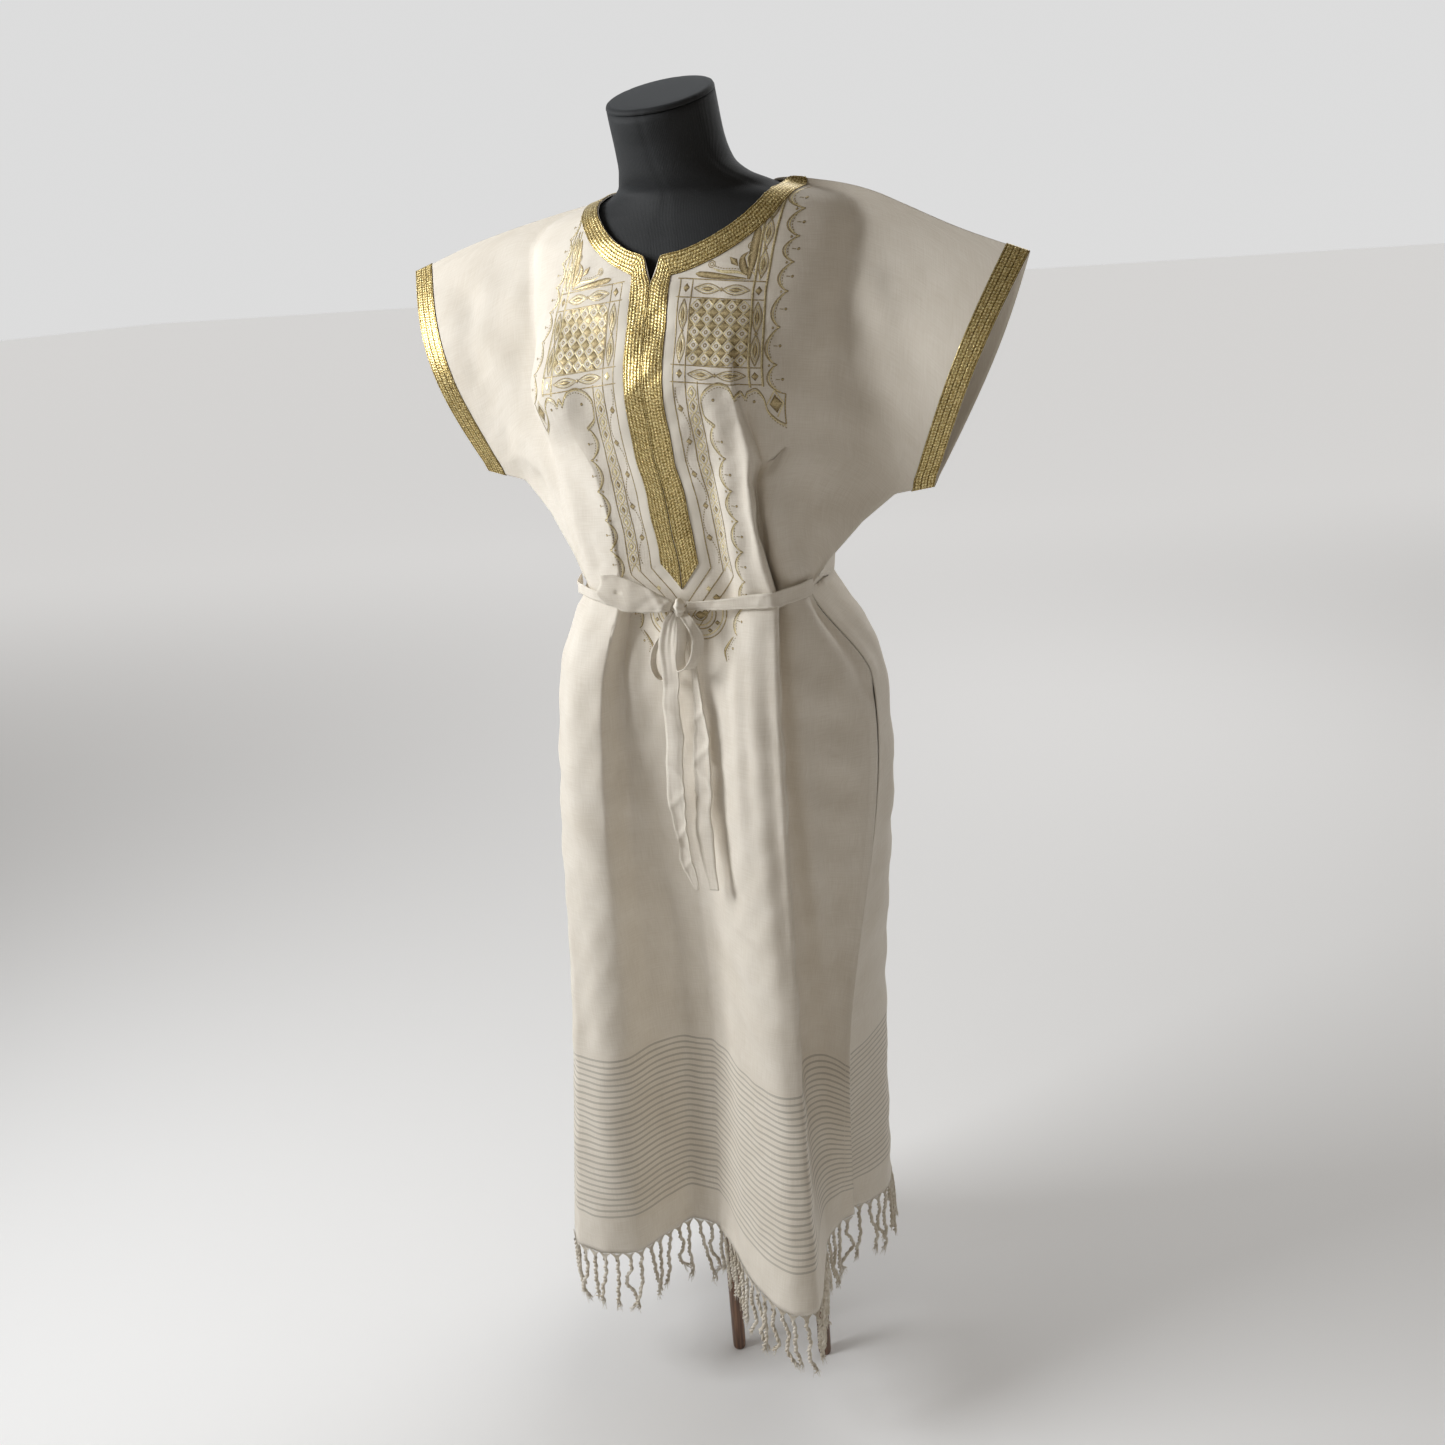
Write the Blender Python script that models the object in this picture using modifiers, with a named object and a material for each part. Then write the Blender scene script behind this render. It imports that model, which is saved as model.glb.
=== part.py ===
"""A kaftan dress of cotton with gold braid, tied at the waist and standing on a limbless dress form.

Metres, +Z up. The front faces -Y and the dress's own left side is at +X. The form's axis is
at x = 0, y = 0 while the pieces are made, and at the end everything is moved sideways so
that the middle of the whole object's box is on the Z axis, with the feet at z = 0.
"""

import bmesh
import bpy
import numpy as np
from mathutils import Vector

COLLECTION = "kaftan_dress"

# Cloth and braid
WALL = 0.002
GAP = 0.0003
SEAM_SHIFT = 0.0004
BRAID_THICK = 0.0016
BRAID_WIDE = 0.022
CUFF_WIDE = 0.025
BRAID_INSET = 0.0010
BRAID_LIFT = 0.0018
PLACKET_LOW_Z = 1.066
PLACKET_SLANT = 1.3

# The cut, seen from the front. The dress sits a little to its own left.
NECK_RIGHT = 0.084
NECK_LEFT = 0.112
NECK_Z = 1.478
FRONT_NECK_DROP = 0.068
BACK_NECK_DROP = 0.004
NOTCH_X = -0.003
NOTCH_HALF = 0.009
NOTCH_DEEP = 0.026
SLEEVE_DEEP = 0.044
BELT_Z = 1.055
BELT_SAG = 0.008
SLIT_Z = 0.950
KNEE_Z = 0.480
HEM_Z = 0.200
BELT_DOWN = 0.36
FOLD_START = 0.20

# Shoulder line, where front and back meet: x, z
SHOULDER = (
    (-0.360, 1.411),
    (-0.269, 1.439),
    (-0.161, 1.462),
    (-0.110, 1.471),
    (-NECK_RIGHT, NECK_Z),
    (NECK_LEFT, NECK_Z),
    (0.145, 1.473),
    (0.176, 1.466),
    (0.205, 1.456),
    (0.230, 1.444),
    (0.290, 1.415),
    (0.360, 1.387),
)
# Each side edge from the cuff's top past the underarm to the belt: share of the way, x, z
RIGHT_EDGE = (
    (0.00, -0.360, 1.411),
    (0.50, -0.278, 1.180),
    (0.62, -0.228, 1.168),
    (0.74, -0.191, 1.132),
    (0.87, -0.161, 1.090),
    (1.00, -0.140, BELT_Z),
)
LEFT_EDGE = (
    (0.00, 0.360, 1.387),
    (0.50, 0.264, 1.160),
    (0.62, 0.222, 1.152),
    (0.74, 0.188, 1.124),
    (0.87, 0.156, 1.088),
    (1.00, 0.130, BELT_Z),
)
CUFF_SHARE = 0.50
# The plane in which front and back meet: z, y
SEAM_PLANE = ((1.055, -0.050), (1.125, -0.030), (1.168, -0.015), (1.387, 0.010), (1.478, 0.012))

# Dress form: height, half width, depth in front of the centre, depth behind it, roundness of
# the section, the centre's y and x, and how far the cloth stands off
FORM_COLUMNS = ("z", "half", "front", "back", "power", "centre", "lean", "ease")
FORM_RINGS = (
    (0.790, 0.148, 0.080, 0.092, 2.2, 0.000, 0.000, 0.020),
    (0.830, 0.163, 0.088, 0.108, 2.2, 0.000, 0.000, 0.020),
    (0.900, 0.164, 0.090, 0.112, 2.2, 0.000, 0.000, 0.016),
    (0.970, 0.148, 0.086, 0.098, 2.2, 0.000, 0.000, 0.022),
    (1.055, 0.112, 0.078, 0.066, 2.2, 0.000, 0.000, 0.026),
    (1.130, 0.120, 0.086, 0.076, 2.2, 0.000, 0.000, 0.026),
    (1.200, 0.140, 0.102, 0.086, 2.2, 0.000, 0.000, 0.018),
    (1.285, 0.158, 0.116, 0.092, 2.2, 0.000, 0.000, 0.009),
    (1.350, 0.172, 0.106, 0.096, 2.1, 0.001, 0.000, 0.006),
    (1.400, 0.180, 0.092, 0.088, 2.0, 0.004, 0.000, 0.005),
    (1.425, 0.181, 0.089, 0.078, 1.9, 0.008, 0.000, 0.005),
    (1.440, 0.176, 0.086, 0.067, 1.8, 0.011, 0.002, 0.005),
    (1.450, 0.167, 0.084, 0.060, 1.7, 0.012, 0.004, 0.006),
    (1.458, 0.149, 0.083, 0.055, 1.6, 0.012, 0.006, 0.008),
    (1.465, 0.126, 0.082, 0.051, 1.6, 0.011, 0.008, 0.008),
    (1.472, 0.101, 0.080, 0.049, 1.6, 0.008, 0.008, 0.005),
    (1.478, 0.087, 0.079, 0.048, 1.7, 0.004, 0.008, 0.002),
    (1.488, 0.071, 0.068, 0.052, 1.9, -0.012, 0.005, 0.002),
    (1.502, 0.061, 0.060, 0.056, 2.0, -0.024, 0.002, 0.002),
    (1.530, 0.057, 0.055, 0.056, 2.0, -0.036, 0.000, 0.002),
    (1.562, 0.056, 0.054, 0.056, 2.0, -0.047, 0.000, 0.002),
)
BUST_X, BUST_Z, BUST_OUT, BUST_SPREAD = 0.085, 1.285, 0.015, 0.045
# Where the front stands off the form beside its right breast
PUFF_X, PUFF_Z, PUFF_OUT, PUFF_SPREAD = -0.146, 1.276, 0.036, 0.037
CAP_TILT = 0.36
CAP_THICK = 0.006

# Fold lines of the front, from the dress's right side seam to its left one. top is where a line
# starts, as x on the shoulder seam and as a place along the neckline between its corners. The
# other columns are where it passes the belt, the top of the side slit, the knee and the hem.
FOLD_COLUMNS = (
    "top", "belt_x", "belt_y", "slit_x", "slit_y", "knee_x", "knee_y", "hem_x", "hem_y"
)
FRONT_FOLDS = (
    (-0.360, -0.140, -0.050, -0.188, -0.040, -0.202, -0.100, -0.218, -0.128),
    (-0.262, -0.124, -0.084, -0.164, -0.088, -0.180, -0.126, -0.192, -0.153),
    (-0.172, -0.097, -0.107, -0.134, -0.120, -0.152, -0.131, -0.162, -0.158),
    (-0.084, -0.064, -0.117, -0.092, -0.133, -0.120, -0.118, -0.120, -0.144),
    (-0.062, -0.060, -0.090, -0.076, -0.104, -0.097, -0.076, -0.092, -0.092),
    (-0.032, -0.026, -0.104, -0.041, -0.105, -0.064, -0.051, -0.072, -0.063),
    (-0.00767, 0.002, -0.113, -0.010, -0.108, -0.033, -0.051, -0.038, -0.064),
    (-0.00191, 0.011, -0.114, 0.000, -0.109, -0.020, -0.058, -0.024, -0.076),
    (0.00382, 0.020, -0.113, 0.011, -0.110, -0.006, -0.067, -0.008, -0.092),
    (0.018, 0.040, -0.109, 0.034, -0.115, 0.028, -0.097, 0.030, -0.136),
    (0.029, 0.062, -0.104, 0.062, -0.124, 0.062, -0.121, 0.068, -0.168),
    (0.038, 0.088, -0.114, 0.091, -0.135, 0.097, -0.134, 0.108, -0.184),
    (0.048, 0.114, -0.108, 0.117, -0.128, 0.115, -0.124, 0.134, -0.168),
    (0.058, 0.103, -0.076, 0.110, -0.098, 0.094, -0.064, 0.112, -0.078),
    (0.112, 0.118, -0.083, 0.130, -0.090, 0.106, -0.050, 0.106, -0.047),
    (0.190, 0.131, -0.071, 0.158, -0.066, 0.122, -0.046, 0.108, -0.026),
    (0.270, 0.129, -0.057, 0.176, -0.040, 0.138, -0.049, 0.112, -0.010),
    (0.360, 0.130, -0.050, 0.186, -0.015, 0.150, -0.055, 0.120, 0.004),
)
CENTRE_FOLD = 7
# Fold lines of the back, in the same order of columns
BACK_FOLDS = (
    (-0.360, -0.140, -0.050, -0.188, -0.040, -0.208, -0.083, -0.236, -0.088),
    (-0.300, -0.149, -0.012, -0.196, 0.010, -0.222, -0.025, -0.240, -0.020),
    (-0.230, -0.145, 0.030, -0.184, 0.058, -0.208, 0.040, -0.224, 0.050),
    (-0.160, -0.121, 0.060, -0.156, 0.096, -0.176, 0.094, -0.186, 0.118),
    (-0.084, -0.088, 0.078, -0.116, 0.120, -0.132, 0.118, -0.140, 0.150),
    (-0.055, -0.055, 0.082, -0.072, 0.128, -0.088, 0.112, -0.094, 0.132),
    (-0.024, -0.024, 0.094, -0.032, 0.134, -0.044, 0.132, -0.048, 0.146),
    (0.010, 0.006, 0.090, 0.004, 0.129, 0.000, 0.124, -0.002, 0.166),
    (0.046, 0.036, 0.095, 0.040, 0.134, 0.042, 0.136, 0.044, 0.152),
    (0.078, 0.060, 0.083, 0.074, 0.126, 0.082, 0.118, 0.086, 0.126),
    (0.112, 0.084, 0.078, 0.108, 0.118, 0.118, 0.126, 0.120, 0.138),
    (0.180, 0.112, 0.058, 0.146, 0.096, 0.146, 0.104, 0.142, 0.114),
    (0.240, 0.134, 0.028, 0.176, 0.060, 0.160, 0.060, 0.150, 0.074),
    (0.300, 0.135, -0.014, 0.188, 0.020, 0.155, 0.010, 0.137, 0.038),
    (0.360, 0.130, -0.050, 0.186, -0.015, 0.141, -0.036, 0.126, 0.018),
)
# Grid steps between one fold line and the next, and the column at each cuff braid's inner edge
FRONT_STEPS = (2, 2, 5, 4, 2, 2, 1, 1, 2, 2, 2, 2, 2, 4, 5, 2, 2)
BACK_STEPS = (2, 2, 2, 3, 3, 2, 1, 1, 2, 3, 3, 2, 2, 2)
CUFF_COLUMNS = (0.030, 0.982)
# Grid rows from the shoulder seam to the underarm, closer together where the cloth turns over
SLEEVE_ROWS = (0, 0.012, 0.028, 0.050, 0.080, 0.125, 0.20, 0.32, 0.47, 0.63, 0.78, 0.90, 0.97, 1)
EDGE_SHARE = 0.10

# The belt is two ties knotted into a bow at the front
TIE_THICK = 0.002
TIE_REACH = 0.001
TIE_END = 0.006
KNOT = (0.013, -0.1323, 1.052)
KNOT_SIZE = (0.018, 0.018, 0.022)
# Height of each tie across, from the knot to its seam: share of the way, height, middle's z
TIE_TABLE = ((0.0, 0.009, 1.0500), (0.3, 0.011, 1.0520), (0.6, 0.015, 1.0560), (1.0, 0.018, 1.0590))
# Centre lines of the bow's loops and tails: x, y, z, width
BOW_LARGE = (
    (0.0060, -0.1385, 1.0545, 0.013),
    (-0.0060, -0.1430, 1.0620, 0.028),
    (-0.0260, -0.1460, 1.0680, 0.037),
    (-0.0500, -0.1460, 1.0715, 0.036),
    (-0.0650, -0.1430, 1.0740, 0.028),
    (-0.0710, -0.1370, 1.0755, 0.024),
    (-0.0640, -0.1320, 1.0740, 0.024),
    (-0.0450, -0.1315, 1.0690, 0.024),
    (-0.0200, -0.1315, 1.0620, 0.018),
    (0.0033, -0.1318, 1.0545, 0.012),
)
BOW_SMALL = (
    (0.0165, -0.1320, 1.0415, 0.009),
    (0.0270, -0.1330, 1.0310, 0.011),
    (0.0320, -0.1330, 1.0150, 0.012),
    (0.0270, -0.1325, 0.9960, 0.012),
    (0.0150, -0.1320, 0.9810, 0.010),
    (0.0070, -0.1320, 0.9790, 0.010),
    (0.0065, -0.1320, 0.9930, 0.010),
    (0.0100, -0.1320, 1.0150, 0.010),
    (0.0120, -0.1320, 1.0370, 0.009),
)
BOW_SIDE = (
    (-0.0030, -0.1230, 1.0450, 0.006),
    (-0.0080, -0.1235, 1.0240, 0.006),
    (-0.0180, -0.1235, 1.0110, 0.007),
    (-0.0250, -0.1235, 0.9980, 0.007),
    (-0.0280, -0.1235, 0.9830, 0.007),
    (-0.0250, -0.1235, 0.9700, 0.007),
    (-0.0180, -0.1235, 0.9650, 0.006),
    (-0.0110, -0.1235, 0.9720, 0.006),
)
TAIL_FRONT = (
    (0.0045, -0.1320, 1.0414, 0.012),
    (-0.0010, -0.1310, 1.0280, 0.019),
    (-0.0050, -0.1300, 0.9710, 0.019),
    (-0.0090, -0.1290, 0.9050, 0.021),
    (-0.0125, -0.1280, 0.8340, 0.022),
    (-0.0110, -0.1270, 0.7930, 0.015),
    (-0.0080, -0.1260, 0.7540, 0.014),
    (0.0010, -0.1250, 0.7140, 0.006),
)
TAIL_BACK = (
    (0.0130, -0.1230, 1.0452, 0.008),
    (0.0165, -0.1220, 1.0100, 0.007),
    (0.0190, -0.1220, 0.9850, 0.006),
    (0.0220, -0.1220, 0.9390, 0.011),
    (0.0212, -0.1220, 0.8870, 0.021),
    (0.0183, -0.1220, 0.8340, 0.021),
    (0.0153, -0.1220, 0.7880, 0.022),
    (0.0178, -0.1220, 0.7520, 0.017),
    (0.0222, -0.1220, 0.7150, 0.012),
)

# Fringe
FRINGE_GAP = 0.0008
STRAND_PITCH = 0.0155
STRAND_LONG = 0.080
STRAND_TIP = 0.55
ROOT_TALL = 0.005
FRINGE_SEED = 7

# Stand
POLE_RADIUS = 0.013
HUB_RADIUS = 0.030
HUB_LOW_Z = 0.270
HUB_HIGH_Z = 0.330
LEG_RADIUS = 0.0085
LEG_TOP_Z = 0.300
LEG_BEND_Z = 0.165
LEG_STUB = 0.012
FEET = (
    ("leg_front_right", -0.027, -0.056),
    ("leg_front_left", 0.085, -0.030),
    ("leg_back", -0.055, 0.125),
)

# Colour and roughness of each material
CREAM = ((0.78, 0.72, 0.63), 0.9)
GOLD = ((0.52, 0.38, 0.12), 0.45)
BLACK = ((0.022, 0.024, 0.028), 0.9)
WOOD = ((0.26, 0.13, 0.07), 0.5)
STEEL = ((0.55, 0.55, 0.55), 0.35)


def through(knots, rows, at):
    """Values at the given places on a curve through a table's rows, with no overshoot."""
    knots = np.asarray(knots, float)
    rows = np.asarray(rows, float)
    at = np.clip(np.asarray(at, float), knots[0], knots[-1])
    rows = rows.reshape(len(knots), -1)
    step = np.diff(knots)[:, None]
    rise = np.diff(rows, axis=0) / step
    slope = np.zeros_like(rows)
    slope[0] = rise[0]
    slope[-1] = rise[-1]
    before, after = rise[:-1], rise[1:]
    same_way = before * after > 0
    weight_a = 2 * step[1:] + step[:-1]
    weight_b = step[1:] + 2 * step[:-1]
    safe_before = np.where(same_way, before, 1.0)
    safe_after = np.where(same_way, after, 1.0)
    mean = (weight_a + weight_b) / (weight_a / safe_before + weight_b / safe_after)
    slope[1:-1] = np.where(same_way, mean, 0.0)
    i = np.clip(np.searchsorted(knots, at, side="right") - 1, 0, len(knots) - 2)
    h = step[i]
    t = (at - knots[i])[..., None] / h
    value = (
        (2 * t**3 - 3 * t**2 + 1) * rows[i]
        + (t**3 - 2 * t**2 + t) * h * slope[i]
        + (3 * t**2 - 2 * t**3) * rows[i + 1]
        + (t**3 - t**2) * h * slope[i + 1]
    )
    return value


def ease_in(t):
    """0 to 1 with level ends."""
    t = np.clip(t, 0.0, 1.0)
    return t * t * (3 - 2 * t)


# Surfaces of the dress form and of the cloth above the belt


def ring_sizes(z):
    """The form's measures at a height, by column name."""
    table = np.array(FORM_RINGS)
    values = through(table[:, 0], table[:, 1:], z)
    return {name: values[..., i] for i, name in enumerate(FORM_COLUMNS[1:])}


def bust_bump(x, z, spanned):
    """How far the bust stands out, or the cloth that spans the hollow between its two sides."""
    across = (np.abs(x) - BUST_X) / BUST_SPREAD
    if spanned:
        across = np.maximum(across, 0)
    up = (z - BUST_Z) / BUST_SPREAD
    return BUST_OUT * np.exp(-0.5 * (across**2 + up**2))


def body_depth(x, z, side):
    """How far the cloth over the form lies from the plane y = 0, in front or behind it."""
    ring = ring_sizes(z)
    share = np.abs(x - ring["lean"]) / (ring["half"] + ring["ease"])
    inside = np.clip(share, 0, 1)
    round_off = (1 - inside ** ring["power"]) ** (1 / ring["power"]) - 20.0 * (share - inside)
    if side == "front":
        puff = PUFF_OUT * np.exp(-0.5 * (((x - PUFF_X) / PUFF_SPREAD) ** 2 + ((z - PUFF_Z) / PUFF_SPREAD) ** 2))
        stand_off = bust_bump(x, z, True) + puff
        return (ring["front"] + ring["ease"]) * round_off - ring["centre"] + stand_off
    return (ring["back"] + ring["ease"]) * round_off + ring["centre"]


def shoulder_z(x):
    table = np.array(SHOULDER)
    return through(table[:, 0], table[:, 1], x)[..., 0]


def seam_y(z):
    table = np.array(SEAM_PLANE)
    return through(table[:, 0], table[:, 1], z)[..., 0]


def underarm_z(x):
    """Height of the sleeve's lower seam at that x, or of the belt between the seams."""
    table = np.array(RIGHT_EDGE[1:] + LEFT_EDGE[:0:-1])
    return np.interp(x, table[:, 1], table[:, 2])


def cloth_y(x, z, side):
    """The cloth above the belt: over the form in the middle, a flat tube in the sleeves."""
    low = underarm_z(x)
    high = shoulder_z(x)
    down = np.clip((high - z) / (high - low), 0, 1)
    puff = SLEEVE_DEEP * np.sin(np.pi * down)
    facing = -1.0 if side == "front" else 1.0
    tent = facing * seam_y(z) + puff
    body = body_depth(x, z, side)
    blend = 0.024 * np.sqrt(np.clip(4 * down * (1 - down), 0, 1))
    depth = 0.5 * (tent + body + np.sqrt((tent - body) ** 2 + blend**2))
    return facing * depth


def neck_x(top):
    """x of a fold line's start. Between the neck's corners the lines crowd towards the corners."""
    half = np.where(top < 0, NECK_RIGHT, NECK_LEFT)
    inside = np.clip(top / half, -1, 1)
    return np.where(np.abs(top) < half, half * np.sin(inside * np.pi / 2), top)


def neckline_z(x, side):
    """Top edge between the shoulders. The front one drops in a curve to a small notch."""
    half = np.where(x < 0, NECK_RIGHT, NECK_LEFT)
    inside = np.clip(1 - np.abs(x / half) ** 1.7, 0, 1)
    if side == "back":
        return NECK_Z - BACK_NECK_DROP * inside
    notch = NOTCH_DEEP * np.clip(1 - np.abs(x - NOTCH_X) / NOTCH_HALF, 0, 1)
    return NECK_Z - FRONT_NECK_DROP * inside**0.62 - notch


def fold_shares(folds):
    """Place of each fold line across the panel, from 0 to 1, from the mean cloth between them."""
    table = np.array(folds)
    shares = []
    for column in (5, 7):
        lengths = np.hypot(*np.diff(table[:, column:column + 2], axis=0).T)
        shares.append(lengths / lengths.sum())
    return np.concatenate([[0], np.cumsum(np.mean(shares, axis=0))])


def panel_point(across, down, side):
    """A point on the inner face of the front or back panel.

    across runs from the right side seam, 0, to the left one, 1, and down from the shoulder
    seam and neckline, 0, past the belt at BELT_DOWN to the hem, 1.
    """
    folds = FRONT_FOLDS if side == "front" else BACK_FOLDS
    table = np.array(folds)
    across, down = np.broadcast_arrays(np.asarray(across, float), np.asarray(down, float))
    line = through(fold_shares(folds), table, across)
    top_x, belt_x, belt_y = neck_x(line[..., 0]), line[..., 1], line[..., 2]
    right_edge = np.array(RIGHT_EDGE)
    left_edge = np.array(LEFT_EDGE)
    sides = np.where(belt_x < 0, right_edge[-1, 1], left_edge[-1, 1])
    belt_z = BELT_Z - BELT_SAG * np.clip(1 - (belt_x / sides) ** 2, 0, 1)

    # Above the belt, x and z are filled in between the four edges
    p = np.clip(down / BELT_DOWN, 0, 1)
    x = (1 - p) * top_x + p * belt_x
    z = p * belt_z
    for edge, weight in ((right_edge, 1 - 2 * across), (left_edge, 2 * across - 1)):
        weight = np.clip(weight, 0, 1)
        x = x + weight * (np.interp(p, edge[:, 0], edge[:, 1]) - (1 - p) * edge[0, 1] - p * edge[-1, 1])
        z = z + weight * (np.interp(p, edge[:, 0], edge[:, 2]) - (1 - p) * edge[0, 2] - p * edge[-1, 2])
    open_neck = (top_x > -NECK_RIGHT) & (top_x < NECK_LEFT)
    z = z + (1 - p) * np.where(open_neck, neckline_z(top_x, side), shoulder_z(top_x))
    y = cloth_y(x, z, side)
    at_belt = belt_y - cloth_y(belt_x, belt_z, side)
    near_edge = ease_in(1 - np.minimum(across, 1 - across) / EDGE_SHARE)
    gather = ease_in((p - FOLD_START) / (1 - FOLD_START)) ** 0.7
    if side == "back":
        gather = ease_in((p - CUFF_SHARE) / (1 - CUFF_SHARE))
    facing = -1.0 if side == "front" else 1.0
    y = facing * np.maximum(facing * (y + at_belt * gather * (1 - near_edge)), facing * seam_y(z))
    upper = np.stack([x, y, z], -1)

    # Below it, each fold line passes the slit's top, the knee and the hem
    q = np.clip((down - BELT_DOWN) / (1 - BELT_DOWN), 0, 1)
    level = belt_z + q * (HEM_Z - belt_z)
    edge_line = np.where((across < 0.5)[..., None], table[0], table[-1])
    sewn = near_edge * ease_in((level - SLIT_Z) / 0.01)
    seam = slit_seam(level, across)
    lower_x = lofted(line[..., 1::2], level) + sewn * (seam[..., 0] - lofted(edge_line[..., 1::2], level))
    lower_y = lofted(line[..., 2::2], level) + sewn * (seam[..., 1] - lofted(edge_line[..., 2::2], level))
    lower = np.stack([lower_x, lower_y, level], -1)
    point = np.where((down < BELT_DOWN)[..., None], upper, lower)
    point[..., 1] += -SEAM_SHIFT if side == "front" else SEAM_SHIFT
    return point


def on_panel(x, z, side):
    """The panel's points above the belt at places seen from the front."""
    x, z = np.atleast_1d(x).astype(float), np.atleast_1d(z).astype(float)
    shares, downs = np.meshgrid(np.linspace(0, 1, 81), np.linspace(0, BELT_DOWN, 41), indexing="ij")
    shares, downs = shares.ravel(), downs.ravel()
    known = panel_point(shares, downs, side)
    nearest = [np.argmin(np.hypot(known[:, 0] - a, known[:, 2] - b)) for a, b in zip(x, z)]
    across, down = shares[nearest], downs[nearest]
    wanted = np.stack([x, z], -1)
    step = 0.00002
    for _ in range(25):
        here = panel_point(across, down, side)
        back_a = np.where(across > 0.5, -step, step)
        back_d = np.where(down > BELT_DOWN / 2, -step, step)
        by_across = (panel_point(across + back_a, down, side) - here)[:, ::2] / back_a[:, None]
        by_down = (panel_point(across, down + back_d, side) - here)[:, ::2] / back_d[:, None]
        gap = wanted - here[:, ::2]
        det = by_across[:, 0] * by_down[:, 1] - by_across[:, 1] * by_down[:, 0]
        move_a = (gap[:, 0] * by_down[:, 1] - gap[:, 1] * by_down[:, 0]) / det
        move_d = (by_across[:, 0] * gap[:, 1] - by_across[:, 1] * gap[:, 0]) / det
        across = np.clip(across + np.clip(move_a, -0.02, 0.02), 0, 1)
        down = np.clip(down + np.clip(move_d, -0.02, 0.02), 0, BELT_DOWN)
    return panel_point(across, down, side)


def slit_seam(level, across):
    """x and y of the sewn side seam between the belt and the top of the slit."""
    share = np.clip((BELT_Z - level) / (BELT_Z - SLIT_Z), 0, 1)[..., None]
    right = np.array(FRONT_FOLDS[0])
    left = np.array(FRONT_FOLDS[-1])
    ends = np.where((across < 0.5)[..., None, None], right[1:5].reshape(2, 2), left[1:5].reshape(2, 2))
    eased = 0.5 * share + 0.5 * ease_in(share)
    return ends[..., 0, :] * (1 - eased) + ends[..., 1, :] * eased


def lofted(values, level):
    """A coordinate at each height, through its values at the belt, slit, knee and hem."""
    knots = np.array([BELT_Z, SLIT_Z, KNEE_Z, HEM_Z])
    step = np.diff(knots)
    rise = np.diff(values, axis=-1) / step
    slope = np.stack(
        [
            rise[..., 0],
            (rise[..., 0] + 2 * rise[..., 1]) / 3,
            (rise[..., 1] + rise[..., 2]) / 2,
            rise[..., 2],
        ],
        -1,
    )
    i = np.clip(np.searchsorted(-knots, -level, side="right") - 1, 0, 2)
    h = step[i]
    t = (level - knots[i]) / h
    low = np.take_along_axis(values, i[..., None], -1)[..., 0]
    high = np.take_along_axis(values, i[..., None] + 1, -1)[..., 0]
    slope_low = np.take_along_axis(slope, i[..., None], -1)[..., 0]
    slope_high = np.take_along_axis(slope, i[..., None] + 1, -1)[..., 0]
    return (
        (2 * t**3 - 3 * t**2 + 1) * low
        + (t**3 - 2 * t**2 + t) * h * slope_low
        + (3 * t**2 - 2 * t**3) * high
        + (t**3 - t**2) * h * slope_high
    )


def lifted(points, distance, outside, closed=False):
    """A grid of points moved off its surface, to the side where the given point lies.

    The rows run along a band. At a sharp turn the points move further, as in a mitre.
    """
    along = np.diff(points, axis=0, append=points[:1] if closed else points[-1:])
    if not closed:
        along[-1] = along[-2]
    wide = np.gradient(points, axis=1)
    normal = np.cross(along, wide)
    normal /= np.linalg.norm(normal, axis=-1, keepdims=True)
    last = normal[-1:] if closed else normal[:1]
    former = np.concatenate([last, normal[:-1]])
    mitre = (normal + former) / (1.02 + np.sum(normal * former, axis=-1, keepdims=True)) * 1.01
    away = ((outside - points) * mitre).sum()
    return points + mitre * distance * np.sign(away)


# Blender objects


def material(name, look):
    colour, roughness = look
    made = bpy.data.materials.new(name)
    made.use_nodes = True
    shader = made.node_tree.nodes["Principled BSDF"]
    shader.inputs["Base Color"].default_value = (*colour, 1.0)
    shader.inputs["Roughness"].default_value = roughness
    shader.inputs["Metallic"].default_value = 0.6 if look in (GOLD, STEEL) else 0.0
    return made


def add_object(name, bm, look):
    mesh = bpy.data.meshes.new(name)
    bm.to_mesh(mesh)
    bm.free()
    mesh.shade_smooth()
    mesh.materials.append(material(name, look))
    made = bpy.data.objects.new(name, mesh)
    parts.objects.link(made)
    return made


def grid_mesh(points):
    """A bmesh grid laid on an array of points, rows by columns."""
    rows, columns = points.shape[:2]
    bm = bmesh.new()
    bmesh.ops.create_grid(bm, x_segments=columns - 1, y_segments=rows - 1, size=1)
    for vert in bm.verts:
        column = round((vert.co.x + 1) / 2 * (columns - 1))
        row = round((vert.co.y + 1) / 2 * (rows - 1))
        vert.co = points[row, column]
    return bm


def face_out(bm, towards):
    """Turns the faces of an open grid so that the middle one faces the given way."""
    bm.faces.ensure_lookup_table()
    bm.normal_update()
    total = sum((face.normal * face.calc_area() for face in bm.faces), start=Vector())
    if total.dot(towards) < 0:
        bmesh.ops.reverse_faces(bm, faces=bm.faces)


def cloth_sheet(name, points, towards, look=CREAM, thick=WALL):
    """An open sheet through a grid of points, with a wall that grows towards one side."""
    bm = grid_mesh(points)
    face_out(bm, towards)
    made = add_object(name, bm, look)
    wall = made.modifiers.new("wall", "SOLIDIFY")
    wall.thickness = thick
    wall.offset = 1.0
    return made


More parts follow.
